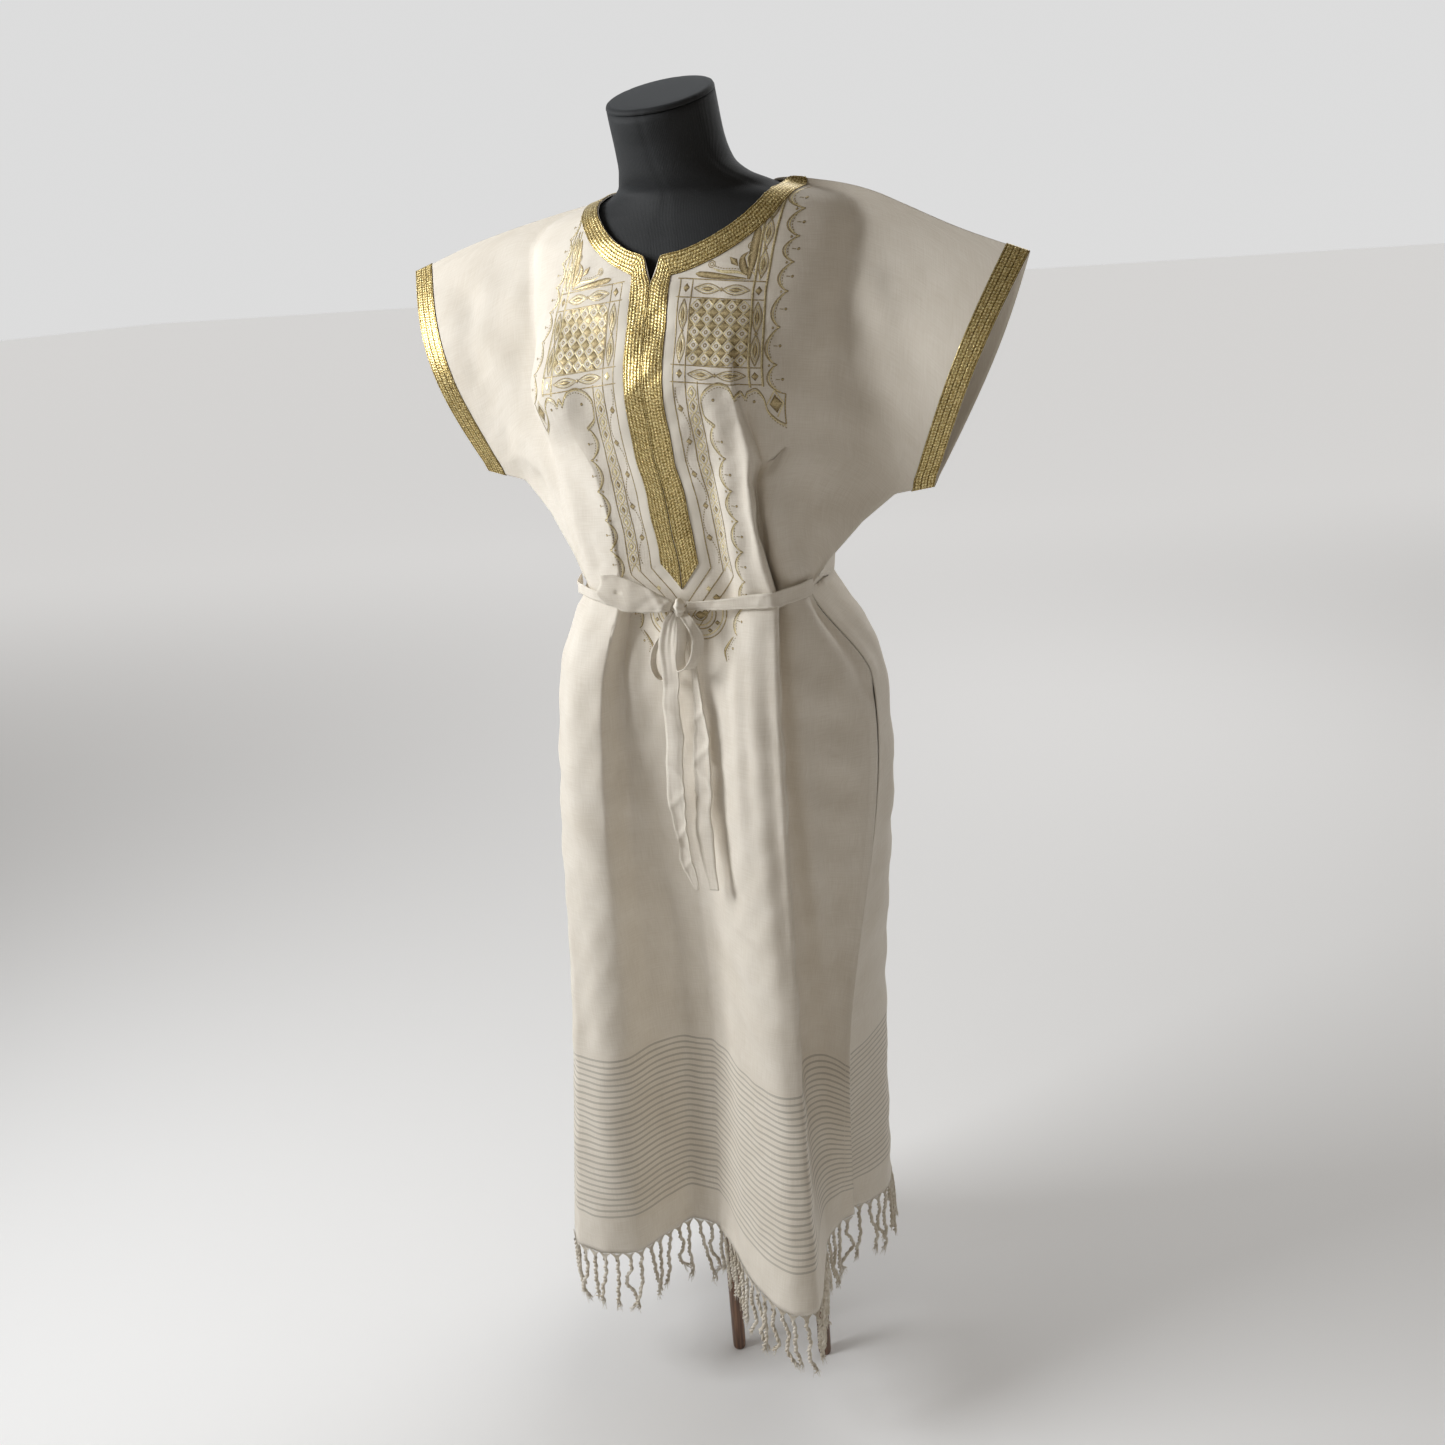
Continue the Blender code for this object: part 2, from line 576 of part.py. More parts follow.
def closed_band(name, points, look, thick):
    """A band whose rows run round a ring and meet, with a wall that grows outwards."""
    bm = grid_mesh(np.concatenate([points, points[:1]]))
    bmesh.ops.remove_doubles(bm, verts=bm.verts, dist=0.00001)
    centre = Vector(points.reshape(-1, 3).mean(axis=0))
    bm.normal_update()
    outward = 0.0
    for face in bm.faces:
        outward += face.normal.dot(face.calc_center_median() - centre) * face.calc_area()
    if outward < 0:
        bmesh.ops.reverse_faces(bm, faces=bm.faces)
    made = add_object(name, bm, look)
    wall = made.modifiers.new("wall", "SOLIDIFY")
    wall.thickness = thick
    wall.offset = 1.0
    return made


def rod(name, route, radius, look, sides=3):
    """A round rod along a few points, closed at both ends."""
    curve = bpy.data.curves.new(name, "CURVE")
    curve.dimensions = "3D"
    curve.bevel_depth = radius
    curve.bevel_resolution = sides
    curve.use_fill_caps = True
    spline = curve.splines.new("POLY")
    spline.points.add(len(route) - 1)
    for point, place in zip(spline.points, route):
        point.co = (*place, 1.0)
    curve.materials.append(material(name, look))
    made = bpy.data.objects.new(name, curve)
    parts.objects.link(made)
    return made


# The garment's pieces


def panel_columns(steps, folds):
    shares = fold_shares(folds)
    places = [0.0]
    for low, high, count in zip(shares[:-1], shares[1:], steps):
        places.extend(low + (high - low) * (k + 1) / count for k in range(count))
    return np.sort(np.concatenate([places, CUFF_COLUMNS]))


def panel_rows():
    sleeve = BELT_DOWN * CUFF_SHARE * np.array(SLEEVE_ROWS)
    underarm = BELT_DOWN * np.linspace(CUFF_SHARE, 1, 8)[1:]
    skirt = BELT_DOWN + (1 - BELT_DOWN) * (np.linspace(0, 1, 9)[1:]) ** 1.1
    return np.concatenate([sleeve, underarm, skirt])


def make_panel(side, steps, folds, towards):
    rows, columns = np.meshgrid(panel_rows(), panel_columns(steps, folds), indexing="ij")
    points = panel_point(columns, rows, side)
    return cloth_sheet(side + "_panel", points, towards)


def notch_low():
    return NECK_Z - FRONT_NECK_DROP - NOTCH_DEEP


def placket_line(width, sign):
    """The braid beside the front's centre line, from its pointed lower end to the notch."""
    centre = fold_shares(FRONT_FOLDS)[CENTRE_FOLD]
    down = np.linspace(0, BELT_DOWN, 200)
    line = panel_point(np.full_like(down, centre), down, "front")
    z = np.linspace(PLACKET_LOW_Z + PLACKET_SLANT * width, notch_low() - 0.4 * width, 16)
    x = np.interp(-z, -line[:, 2], line[:, 0]) + sign * width
    return on_panel(x, z, "front")


def neck_line(width, sign):
    """The braid from the notch's low end round one side of the neck to the nape."""
    half = NECK_RIGHT if sign < 0 else NECK_LEFT
    corner_x = NOTCH_X + sign * NOTCH_HALF
    corner_z = float(neckline_z(np.array(corner_x), "front"))
    low_x = NOTCH_X + sign * 0.25 * NOTCH_HALF
    outer_x = NOTCH_X + sign * BRAID_WIDE
    outer_low = notch_low() - 0.4 * BRAID_WIDE
    outer_z = corner_z - 0.95 * BRAID_WIDE
    places = {"front": [], "back": []}
    for share in (0.35, 0.7, 1.0):
        inner = np.array((low_x + (corner_x - low_x) * share, notch_low() + (corner_z - notch_low()) * share))
        outer = np.array((outer_x, outer_low + (outer_z - outer_low) * share))
        places["front"].append(inner + (outer - inner) * width / BRAID_WIDE)
    first = np.arcsin(abs(corner_x) / half) + 0.20
    for side, bend, turns in (
        ("front", 1.2, np.linspace(first, np.pi / 2, 14)),
        ("back", 0.6, np.linspace(np.pi / 2 - 0.1, 0, 12)),
    ):
        for turn in turns:
            x = sign * half * np.sin(turn)
            slant = 0.2 + (np.pi / 2 - 0.2) * max(np.cos(turn), 0) ** bend
            x_out = x + sign * width * np.cos(slant)
            z_out = float(neckline_z(np.array(x), side)) - width * np.sin(slant)
            ridge = float(shoulder_z(np.array(x_out)))
            places[side].append((x_out, ridge if turn == np.pi / 2 else min(z_out, ridge)))
    lines = []
    for side in ("front", "back"):
        seen = np.array(places[side])
        lines.append(on_panel(seen[:, 0], seen[:, 1], side))
    lines[0][-1, 1] += SEAM_SHIFT
    return np.concatenate(lines)


def make_neck_braid():
    """One length of braid, up one edge of the front opening, round the neck and down the other."""
    rows = []
    for width in np.linspace(BRAID_INSET, BRAID_WIDE, 3):
        right = np.concatenate([placket_line(width, -1), neck_line(width, -1)])
        left = np.concatenate([placket_line(width, 1), neck_line(width, 1)])
        rows.append(np.concatenate([right, left[-2::-1]]))
    points = np.array(rows).transpose(1, 0, 2)
    outside = points + (points - np.array((0.0, 0.02, 1.36)))
    points = lifted(points, WALL + BRAID_LIFT, outside)
    return cloth_sheet("neck_braid", points, (0, -1, 0), GOLD, BRAID_THICK)


def cuff_line(width, edge):
    """x and z of the line round a sleeve at one distance from its opening, from top to bottom."""
    sign = np.sign(edge[0][1])
    slope = np.gradient(shoulder_z(np.array((edge[0][1] - 0.02 * sign, edge[0][1]))), 0.02)[0]
    top_x = edge[0][1] - sign * width / np.hypot(1, slope)
    top = np.array((top_x, float(shoulder_z(np.array(top_x)))))
    corner = np.array(edge[1][1:])
    under = np.array(edge[2][1:]) - corner
    low = corner + under / np.linalg.norm(under) * width
    return top + (low - top) * np.array(SLEEVE_ROWS)[:, None]


def make_cuff(side_name, edge):
    """The braid round a sleeve's opening, over the front and back cloth."""
    loops = []
    for width in np.linspace(BRAID_INSET, CUFF_WIDE, 3):
        seen = cuff_line(width, edge)
        front = on_panel(seen[:, 0], seen[:, 1], "front")
        back = on_panel(seen[-2:0:-1, 0], seen[-2:0:-1, 1], "back")
        front[[0, -1], 1] += SEAM_SHIFT
        loops.append(np.concatenate([front, back]))
    points = np.array(loops).transpose(1, 0, 2)
    outside = points + (points - points.mean(axis=0, keepdims=True))
    points = lifted(points, WALL + BRAID_LIFT, outside, closed=True)
    return closed_band("cuff_braid_" + side_name, points, GOLD, BRAID_THICK)


# Belt


def strip(name, table, wide_way, steps=2):
    """A cotton strip through a table of places, each with the strip's width there."""
    table = np.array(table)
    run = np.concatenate([[0], np.cumsum(np.linalg.norm(np.diff(table[:, :3], axis=0), axis=1))])
    at = np.interp(np.arange((len(table) - 1) * steps + 1) / steps, np.arange(len(table)), run)
    line = through(run, table, at)
    centre = line[:, :3]
    along = np.gradient(centre, axis=0)
    along /= np.linalg.norm(along, axis=1, keepdims=True)
    wide = np.array(wide_way) - along * (along @ np.array(wide_way))[:, None]
    wide /= np.linalg.norm(wide, axis=1, keepdims=True)
    edge = wide * line[:, 3:4] / 2
    made = cloth_sheet(name, np.stack([centre - edge, centre, centre + edge]), (0, -1, 0), CREAM, TIE_THICK)
    made.modifiers["wall"].offset = 0.0
    return made


def taut_front():
    """The line that a tie pulled round the front takes over the cloth's folds, seen from above."""
    share = np.linspace(0, 1, 241)
    down = BELT_DOWN + np.linspace(-0.008, 0.007, 8)
    cloth = panel_point(share[None, :], down[:, None], "front")[..., :2].reshape(-1, 2)
    cloth = cloth[np.argsort(cloth[:, 0])]
    hull = []
    for point in cloth:
        while len(hull) > 1:
            a, b = hull[-2], hull[-1]
            if (b[0] - a[0]) * (point[1] - a[1]) - (b[1] - a[1]) * (point[0] - a[0]) > 0:
                break
            hull.pop()
        hull.append(point)
    hull = np.array(hull)
    along = np.gradient(hull, axis=0)
    out = np.stack([along[:, 1], -along[:, 0]], -1)
    out /= np.linalg.norm(out, axis=1, keepdims=True)
    return hull + out * (WALL + 2 * GAP + TIE_THICK / 2)


def make_tie(name, sign):
    """A tie from the knot round to the side seam."""
    hull = taut_front()
    from_x = KNOT[0] + sign * TIE_REACH
    seam = hull[-1] if sign > 0 else hull[0]
    x = np.linspace(from_x, seam[0] - sign * TIE_END, 15)
    y = np.interp(x, hull[:, 0], hull[:, 1])
    table = np.array(TIE_TABLE)
    share = np.linspace(0, 1, len(x))
    tall = through(table[:, 0], table[:, 1], share)[:, 0]
    level = through(table[:, 0], table[:, 2], share)[:, 0]
    return strip(name, np.stack([x, y, level, tall], -1), (0, 0, 1), steps=1)


def make_knot():
    bm = bmesh.new()
    bmesh.ops.create_uvsphere(bm, u_segments=14, v_segments=8, radius=0.5)
    for vert in bm.verts:
        pinch = 1 - 0.25 * abs(vert.co.x) * 2
        vert.co.x = vert.co.x * KNOT_SIZE[0] + KNOT[0]
        vert.co.y = vert.co.y * KNOT_SIZE[1] * pinch + KNOT[1]
        vert.co.z = vert.co.z * KNOT_SIZE[2] * pinch + KNOT[2]
    return add_object("knot", bm, CREAM)


# Fringe


def nearest(line, place):
    """Number of the point of a line that is nearest to a place, seen from above."""
    return int(np.argmin(np.hypot(line[:, 0] - place.x, line[:, 1] - place.y)))


def make_fringe(side, folds, towards):
    """Twisted strands below the hem, their roots fused into one narrow strip."""
    share = np.linspace(0.002, 0.998, 400)
    hem = panel_point(share, np.ones_like(share), side)
    run = np.concatenate([[0], np.cumsum(np.linalg.norm(np.diff(hem, axis=0), axis=1))])
    count = int(run[-1] / STRAND_PITCH)
    places = np.linspace(0, run[-1], 2 * count + 2)
    line = np.stack([np.interp(places, run, hem[:, k]) for k in range(3)], -1)
    top = line - (0, 0, FRINGE_GAP)
    points = np.stack([top, top - (0, 0, ROOT_TALL)])
    bm = grid_mesh(points)
    face_out(bm, towards)
    bmesh.ops.solidify(bm, geom=bm.faces[:], thickness=-WALL)
    bm.normal_update()
    low = HEM_Z - FRINGE_GAP - ROOT_TALL
    under = [f for f in bm.faces if abs(f.calc_center_median().z - low) < 0.0001]
    rng = np.random.default_rng(FRINGE_SEED + len(folds))
    under.sort(key=lambda face: nearest(line, face.calc_center_median()))
    for face in under[::2]:
        long = STRAND_LONG * (0.9 + 0.2 * rng.random())
        sway = rng.normal(0, 0.0045, 2)
        for step, size in ((0.5, 0.8), (0.5, STRAND_TIP)):
            made = bmesh.ops.extrude_discrete_faces(bm, faces=[face])
            face = made["faces"][0]
            centre = face.calc_center_median()
            for vert in face.verts:
                vert.co = centre + (vert.co - centre) * size
                vert.co.x += sway[0] * step
                vert.co.y += sway[1] * step
                vert.co.z -= long * step
            sway = sway * 0.4 + rng.normal(0, 0.003, 2)
    bmesh.ops.recalc_face_normals(bm, faces=bm.faces)
    return add_object("fringe_" + side, bm, CREAM)


# Form and stand


def make_form():
    """Torso with the neck, closed at both ends. Returns the rim of the neck's slanting top."""
    turn = np.linspace(0, 2 * np.pi, 27)[:-1]
    table = np.array(FORM_RINGS)
    heights = []
    for low, high in zip(table[:-1, 0], table[1:, 0]):
        pieces = 2 if high - low > 0.045 else 1
        heights.extend(low + (high - low) * k / pieces for k in range(pieces))
    heights.append(table[-1, 0])
    rings = []
    for z in heights:
        size = ring_sizes(np.array(z))
        power = 2 / size["power"]
        x = size["lean"] + size["half"] * np.sign(np.sin(turn)) * np.abs(np.sin(turn)) ** power
        depth = np.where(np.cos(turn) > 0, size["front"], size["back"])
        y = size["centre"] - depth * np.sign(np.cos(turn)) * np.abs(np.cos(turn)) ** power
        bump = np.where(np.cos(turn) > 0, bust_bump(x, z, False), 0.0)
        tilt = CAP_TILT * ease_in((z - 1.500) / (table[-1, 0] - 1.500))
        level = z + tilt * (y - size["centre"])
        rings.append(np.stack([x, y - bump, level], -1))
    rings = np.array(rings)
    bm = grid_mesh(np.concatenate([rings, rings[:, :1]], axis=1))
    bmesh.ops.remove_doubles(bm, verts=bm.verts, dist=0.00001)
    open_edges = [edge for edge in bm.edges if edge.is_boundary]
    bmesh.ops.holes_fill(bm, edges=open_edges, sides=0)
    bmesh.ops.recalc_face_normals(bm, faces=bm.faces)
    add_object("dress_form", bm, BLACK)
    return rings[-1]


def make_cap(rim):
    """The neck's flat end, a thin slanting disc."""
    lift = np.array((0, -np.sin(np.arctan(CAP_TILT)), np.cos(np.arctan(CAP_TILT))))
    centre = rim.mean(axis=0)
    base = centre + (rim - centre) * 0.985 + lift * GAP
    levels = ((1.0, 0.0), (1.0, 0.7), (0.93, 1.0))
    rings = np.array([centre + (base - centre) * grow + lift * CAP_THICK * up for grow, up in levels])
    bm = grid_mesh(np.concatenate([rings, rings[:, :1]], axis=1))
    bmesh.ops.remove_doubles(bm, verts=bm.verts, dist=0.00001)
    bmesh.ops.holes_fill(bm, edges=[e for e in bm.edges if e.is_boundary], sides=0)
    bmesh.ops.recalc_face_normals(bm, faces=bm.faces)
    return add_object("neck_cap", bm, BLACK)


def make_stand():
    top = FORM_RINGS[0][0] - GAP
    rod("pole", ((0, 0, HUB_HIGH_Z + GAP), (0, 0, top)), POLE_RADIUS, STEEL)
    bm = bmesh.new()
    bmesh.ops.create_cone(
        bm, cap_ends=True, segments=24, radius1=HUB_RADIUS, radius2=HUB_RADIUS,
        depth=HUB_HIGH_Z - HUB_LOW_Z,
    )
    bmesh.ops.translate(bm, verts=bm.verts, vec=(0, 0, (HUB_HIGH_Z + HUB_LOW_Z) / 2))
    add_object("hub", bm, WOOD)
    for name, x, y in FEET:
        reach = np.hypot(x, y)
        out = np.array((x, y)) / reach
        near = HUB_RADIUS + LEG_STUB
        route = [(*(out * (HUB_RADIUS + GAP)), LEG_TOP_Z), (*(out * near), LEG_TOP_Z)]
        for share in np.linspace(0.2, 1, 6):
            turn = share * np.pi / 2
            level = LEG_TOP_Z - (LEG_TOP_Z - LEG_BEND_Z) * (1 - np.cos(turn))
            route.append((*(out * (near + (reach - near) * np.sin(turn))), level))
        route.append((x, y, 0.0))
        rod(name, route, LEG_RADIUS, WOOD)


def centre_on_axis():
    """Moves every piece sideways so that the whole object's box is centred on the Z axis."""
    bpy.context.view_layer.update()
    graph = bpy.context.evaluated_depsgraph_get()
    low = np.full(3, np.inf)
    high = -low
    for obj in parts.objects:
        shown = obj.evaluated_get(graph)
        mesh = shown.to_mesh()
        co = np.array([vert.co for vert in mesh.vertices])
        low = np.minimum(low, co.min(axis=0))
        high = np.maximum(high, co.max(axis=0))
        shown.to_mesh_clear()
    middle = (low + high) / 2
    for obj in parts.objects:
        obj.location = (-middle[0], -middle[1], 0)


for old in list(bpy.data.objects):
    bpy.data.objects.remove(old, do_unlink=True)
parts = bpy.data.collections.new(COLLECTION)
bpy.context.scene.collection.children.link(parts)

make_panel("front", FRONT_STEPS, FRONT_FOLDS, (0, -1, 0))
make_panel("back", BACK_STEPS, BACK_FOLDS, (0, 1, 0))
make_neck_braid()
make_cuff("right", RIGHT_EDGE)
make_cuff("left", LEFT_EDGE)
make_tie("tie_left", 1)
make_tie("tie_right", -1)
make_knot()
strip("bow_loop_large", BOW_LARGE, (0, 0, 1))
strip("bow_loop_small", BOW_SMALL, (0.3, 0.95, 0))
strip("bow_loop_side", BOW_SIDE, (0.2, 1.0, 0))
strip("tail_front", TAIL_FRONT, (1, 0, 0))
strip("tail_back", TAIL_BACK, (1, 0, 0))
make_fringe("front", FRONT_FOLDS, (0, -1, 0))
make_fringe("back", BACK_FOLDS, (0, 1, 0))
neck_rim = make_form()
make_cap(neck_rim)
make_stand()
centre_on_axis()
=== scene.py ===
"""The looks of a kaftan dress of cream cotton, standing on its black dress form.

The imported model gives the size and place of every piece, in metres with +Z up. The dress faces
-Y and its own left side is at +X.
"""

import bmesh
import bpy
import numpy as np
from mathutils import Matrix, Vector
from mathutils.bvhtree import BVHTree


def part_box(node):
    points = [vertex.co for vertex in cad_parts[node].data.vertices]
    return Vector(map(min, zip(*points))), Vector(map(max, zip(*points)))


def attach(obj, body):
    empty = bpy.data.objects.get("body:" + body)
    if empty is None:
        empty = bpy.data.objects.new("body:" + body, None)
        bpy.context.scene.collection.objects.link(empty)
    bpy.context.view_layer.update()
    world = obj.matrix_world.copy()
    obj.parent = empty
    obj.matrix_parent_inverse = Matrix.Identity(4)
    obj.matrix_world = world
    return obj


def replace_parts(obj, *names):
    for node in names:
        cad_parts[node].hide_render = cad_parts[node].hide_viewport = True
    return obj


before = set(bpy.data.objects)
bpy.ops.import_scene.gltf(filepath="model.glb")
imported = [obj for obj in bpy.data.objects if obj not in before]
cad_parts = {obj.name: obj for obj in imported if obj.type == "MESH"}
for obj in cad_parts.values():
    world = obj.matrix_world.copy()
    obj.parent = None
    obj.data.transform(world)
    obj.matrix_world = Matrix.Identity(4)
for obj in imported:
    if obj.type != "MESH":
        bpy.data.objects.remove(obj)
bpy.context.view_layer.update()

# Camera, light and floor
# The pole's middle is the line that every measure of the dress starts from. The camera stands
# to the dress's left of its front, level with the neck, and looks down.
pole_low, pole_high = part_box("pole")
axis = np.array(((pole_low.x + pole_high.x) / 2, (pole_low.y + pole_high.y) / 2, 0.0))
azimuth, pitch, roll = np.radians((23.7, 17.0, -4.4))
camera_away, camera_high = 1.55, 1.42
forward = np.array((-np.sin(azimuth) * np.cos(pitch), np.cos(azimuth) * np.cos(pitch), -np.sin(pitch)))
level_right = np.array((np.cos(azimuth), np.sin(azimuth), 0.0))
level_up = np.cross(level_right, forward)
image_right = np.cos(roll) * level_right + np.sin(roll) * level_up
image_up = np.cross(image_right, forward)
camera_data = bpy.data.cameras.new("camera")
camera_data.lens = 34.38
camera_data.shift_y = -0.0405
camera = bpy.data.objects.new("camera", camera_data)
camera_place = axis + (np.sin(azimuth) * camera_away, -np.cos(azimuth) * camera_away, camera_high)
turned = Matrix(np.column_stack((image_right, image_up, -forward)).tolist()).to_4x4()
camera.matrix_world = Matrix.Translation(camera_place.tolist()) @ turned
bpy.context.scene.collection.objects.link(camera)
bpy.context.scene.camera = camera
bpy.context.scene.view_settings.view_transform = "Standard"


def feed(tree, socket, value):
    """Links another node's output to a socket, or sets its value."""
    if isinstance(value, bpy.types.NodeSocket):
        tree.links.new(value, socket)
    else:
        socket.default_value = value


def add(tree, kind, **settings):
    """A shader node. Names of its inputs take numbers, colours or links, the rest are settings."""
    made = tree.nodes.new(kind)
    for key, value in settings.items():
        key = key.replace("_", " ") if key.replace("_", " ") in made.inputs else key
        if key in made.inputs:
            feed(tree, made.inputs[key], value)
        else:
            setattr(made, key, value)
    return made


def ramp(tree, factor, *stops, interpolation="LINEAR"):
    """The colour output of a ramp through (place, colour) stops."""
    made = add(tree, "ShaderNodeValToRGB", Fac=factor)
    made.color_ramp.interpolation = interpolation
    elements = made.color_ramp.elements
    elements[0].position, elements[0].color = stops[0][0], (*stops[0][1], 1)
    elements[1].position, elements[1].color = stops[-1][0], (*stops[-1][1], 1)
    for place, colour in stops[1:-1]:
        elements.new(place).color = (*colour, 1)
    return made.outputs["Color"]


def toned(tree, seen, way, *stops, interpolation="LINEAR"):
    """A tone that changes with how far a place or a look goes along a way."""
    along = add(tree, "ShaderNodeVectorMath", operation="DOT_PRODUCT")
    feed(tree, along.inputs[0], seen)
    along.inputs[1].default_value = way
    return ramp(tree, along.outputs["Value"], *stops, interpolation=interpolation)


def new_material(name, colour, roughness, **sockets):
    """A material, its nodes, its shader and the piece's own coordinates."""
    made = bpy.data.materials.new(name)
    made.use_nodes = True
    tree = made.node_tree
    shader = tree.nodes["Principled BSDF"]
    for key, value in {"Base_Color": (*colour, 1), "Roughness": roughness, **sockets}.items():
        feed(tree, shader.inputs[key.replace("_", " ")], value)
    return made, tree, shader, tree.nodes.new("ShaderNodeTexCoord").outputs["Object"]


# A pale wall behind the dress, and a dim warm room in front of it
world = bpy.data.worlds.new("studio")
bpy.context.scene.world = world
world.use_nodes = True
sky = world.node_tree
room_tone, wall_tone = (0.140, 0.124, 0.105), (0.72, 0.72, 0.72)
looking = sky.nodes.new("ShaderNodeTexCoord").outputs["Generated"]
around = toned(sky, looking, (-0.36, 0.93, 0.0), (0.05, room_tone), (0.75, wall_tone))
feed(sky, sky.nodes["Background"].inputs["Color"], around)
sky.nodes["Background"].inputs["Strength"].default_value = 1.0


def area_light(name, place, target, size, watts, colour):
    data = bpy.data.lights.new(name, "AREA")
    data.size = size
    data.energy = watts
    data.color = colour
    light = bpy.data.objects.new(name, data)
    light.location = place
    light.rotation_euler = (Vector(target) - Vector(place)).to_track_quat("-Z", "Y").to_euler()
    bpy.context.scene.collection.objects.link(light)


chest = (0.0, 0.0, 1.05)
area_light("window", (-1.55, -1.05, 1.95), (0.0, 0.0, 1.15), 0.9, 43, (0.97, 0.985, 1.0))
area_light("room", (1.6, -1.9, 1.3), chest, 2.4, 4.0, (1.0, 0.86, 0.69))
area_light("back", (0.4, 2.2, 2.4), (0.0, 0.6, 0.0), 2.4, 26, (1.0, 1.0, 1.0))


def link(obj):
    """Puts a finished piece in the scene, smooth."""
    bpy.context.scene.collection.objects.link(obj)
    if obj.type == "MESH":
        obj.data.shade_smooth()
    return obj


bm = bmesh.new()
bmesh.ops.create_grid(bm, x_segments=8, y_segments=8, size=40)
floor_mesh = bpy.data.meshes.new("floor")
bm.to_mesh(floor_mesh)
bm.free()
floor = link(bpy.data.objects.new("floor", floor_mesh))
# Far behind the dress the floor glows with painted light, more the farther it is, so it turns into the wall
# without a line
pale_floor, tree, shader, place = new_material("pale_floor", (0.84, 0.84, 0.84), 0.9, Emission_Strength=1.0)
glow = ((0.05, (0, 0, 0)), (0.55, (0.40, 0.40, 0.40)))
far_painted_glow = toned(tree, place, (-0.036, 0.093, 0.0), *glow, interpolation="EASE")
feed(tree, shader.inputs["Emission Color"], far_painted_glow)
floor_mesh.materials.append(pale_floor)

# Dress form
# A padded torso without limbs, covered in black cotton jersey. The cover is sewn from long
# panels, closes round a flat board at the top of the neck, and is what the dress hangs on.
torso_columns = ("z", "half", "front", "back", "power", "centre", "lean", "ease")
torso_rings = np.array(
    (
        (0.790, 0.148, 0.080, 0.092, 2.2, 0.000, 0.000, 0.020),
        (0.830, 0.163, 0.088, 0.108, 2.2, 0.000, 0.000, 0.020),
        (0.900, 0.164, 0.090, 0.112, 2.2, 0.000, 0.000, 0.016),
        (0.970, 0.148, 0.086, 0.098, 2.2, 0.000, 0.000, 0.022),
        (1.055, 0.112, 0.078, 0.066, 2.2, 0.000, 0.000, 0.026),
        (1.130, 0.120, 0.086, 0.076, 2.2, 0.000, 0.000, 0.026),
        (1.200, 0.140, 0.102, 0.086, 2.2, 0.000, 0.000, 0.018),
        (1.285, 0.158, 0.116, 0.092, 2.2, 0.000, 0.000, 0.009),
        (1.350, 0.172, 0.106, 0.096, 2.1, 0.001, 0.000, 0.006),
        (1.400, 0.180, 0.092, 0.088, 2.0, 0.004, 0.000, 0.005),
        (1.425, 0.181, 0.089, 0.078, 1.9, 0.008, 0.000, 0.005),
        (1.440, 0.176, 0.086, 0.067, 1.8, 0.011, 0.002, 0.005),
        (1.450, 0.167, 0.084, 0.060, 1.7, 0.012, 0.004, 0.006),
        (1.458, 0.149, 0.083, 0.055, 1.6, 0.012, 0.006, 0.008),
        (1.465, 0.126, 0.082, 0.051, 1.6, 0.011, 0.008, 0.008),
        (1.472, 0.101, 0.080, 0.049, 1.6, 0.008, 0.008, 0.005),
        (1.478, 0.087, 0.079, 0.048, 1.7, 0.004, 0.008, 0.002),
        (1.488, 0.071, 0.068, 0.052, 1.9, -0.012, 0.005, 0.002),
        (1.502, 0.061, 0.060, 0.056, 2.0, -0.024, 0.002, 0.002),
        (1.530, 0.057, 0.055, 0.056, 2.0, -0.036, 0.000, 0.002),
        (1.562, 0.056, 0.054, 0.056, 2.0, -0.047, 0.000, 0.002),
    )
)
bust_x, bust_z, bust_out, bust_spread = 0.085, 1.285, 0.015, 0.045
cap_tilt = 0.36


def eased_between(t, step, low, high, slope_low, slope_high):
    """A cubic from one value to the next with the given slopes at its ends, for t from 0 to 1."""
    start = (2 * t**3 - 3 * t**2 + 1) * low + (t**3 - 2 * t**2 + t) * step * slope_low
    return start + ((3 * t**2 - 2 * t**3) * high + (t**3 - t**2) * step * slope_high)


def through(knots, rows, at):
    """Values at the given places on a curve through a table's rows, with no overshoot."""
    knots = np.asarray(knots, float)
    rows = np.asarray(rows, float).reshape(len(knots), -1)
    at = np.clip(np.asarray(at, float), knots[0], knots[-1])
    step = np.diff(knots)[:, None]
    rise = np.diff(rows, axis=0) / step
    slope = np.zeros_like(rows)
    slope[0] = rise[0]
    slope[-1] = rise[-1]
    before, after = rise[:-1], rise[1:]
    same_way = before * after > 0
    weight_a = 2 * step[1:] + step[:-1]
    weight_b = step[1:] + 2 * step[:-1]
    safe_before = np.where(same_way, before, 1.0)
    safe_after = np.where(same_way, after, 1.0)
    mean = (weight_a + weight_b) / (weight_a / safe_before + weight_b / safe_after)
    slope[1:-1] = np.where(same_way, mean, 0.0)
    i = np.clip(np.searchsorted(knots, at, side="right") - 1, 0, len(knots) - 2)
    h = step[i]
    t = (at - knots[i])[..., None] / h
    return eased_between(t, h, rows[i], rows[i + 1], slope[i], slope[i + 1])


def ease_in(t):
    """0 to 1 with level ends."""
    t = np.clip(t, 0.0, 1.0)
    return t * t * (3 - 2 * t)


def torso_sizes(z):
    """The torso's measures at a height, by column name."""
    values = through(torso_rings[:, 0], torso_rings[:, 1:], z)
    return {name: values[..., i] for i, name in enumerate(torso_columns[1:])}


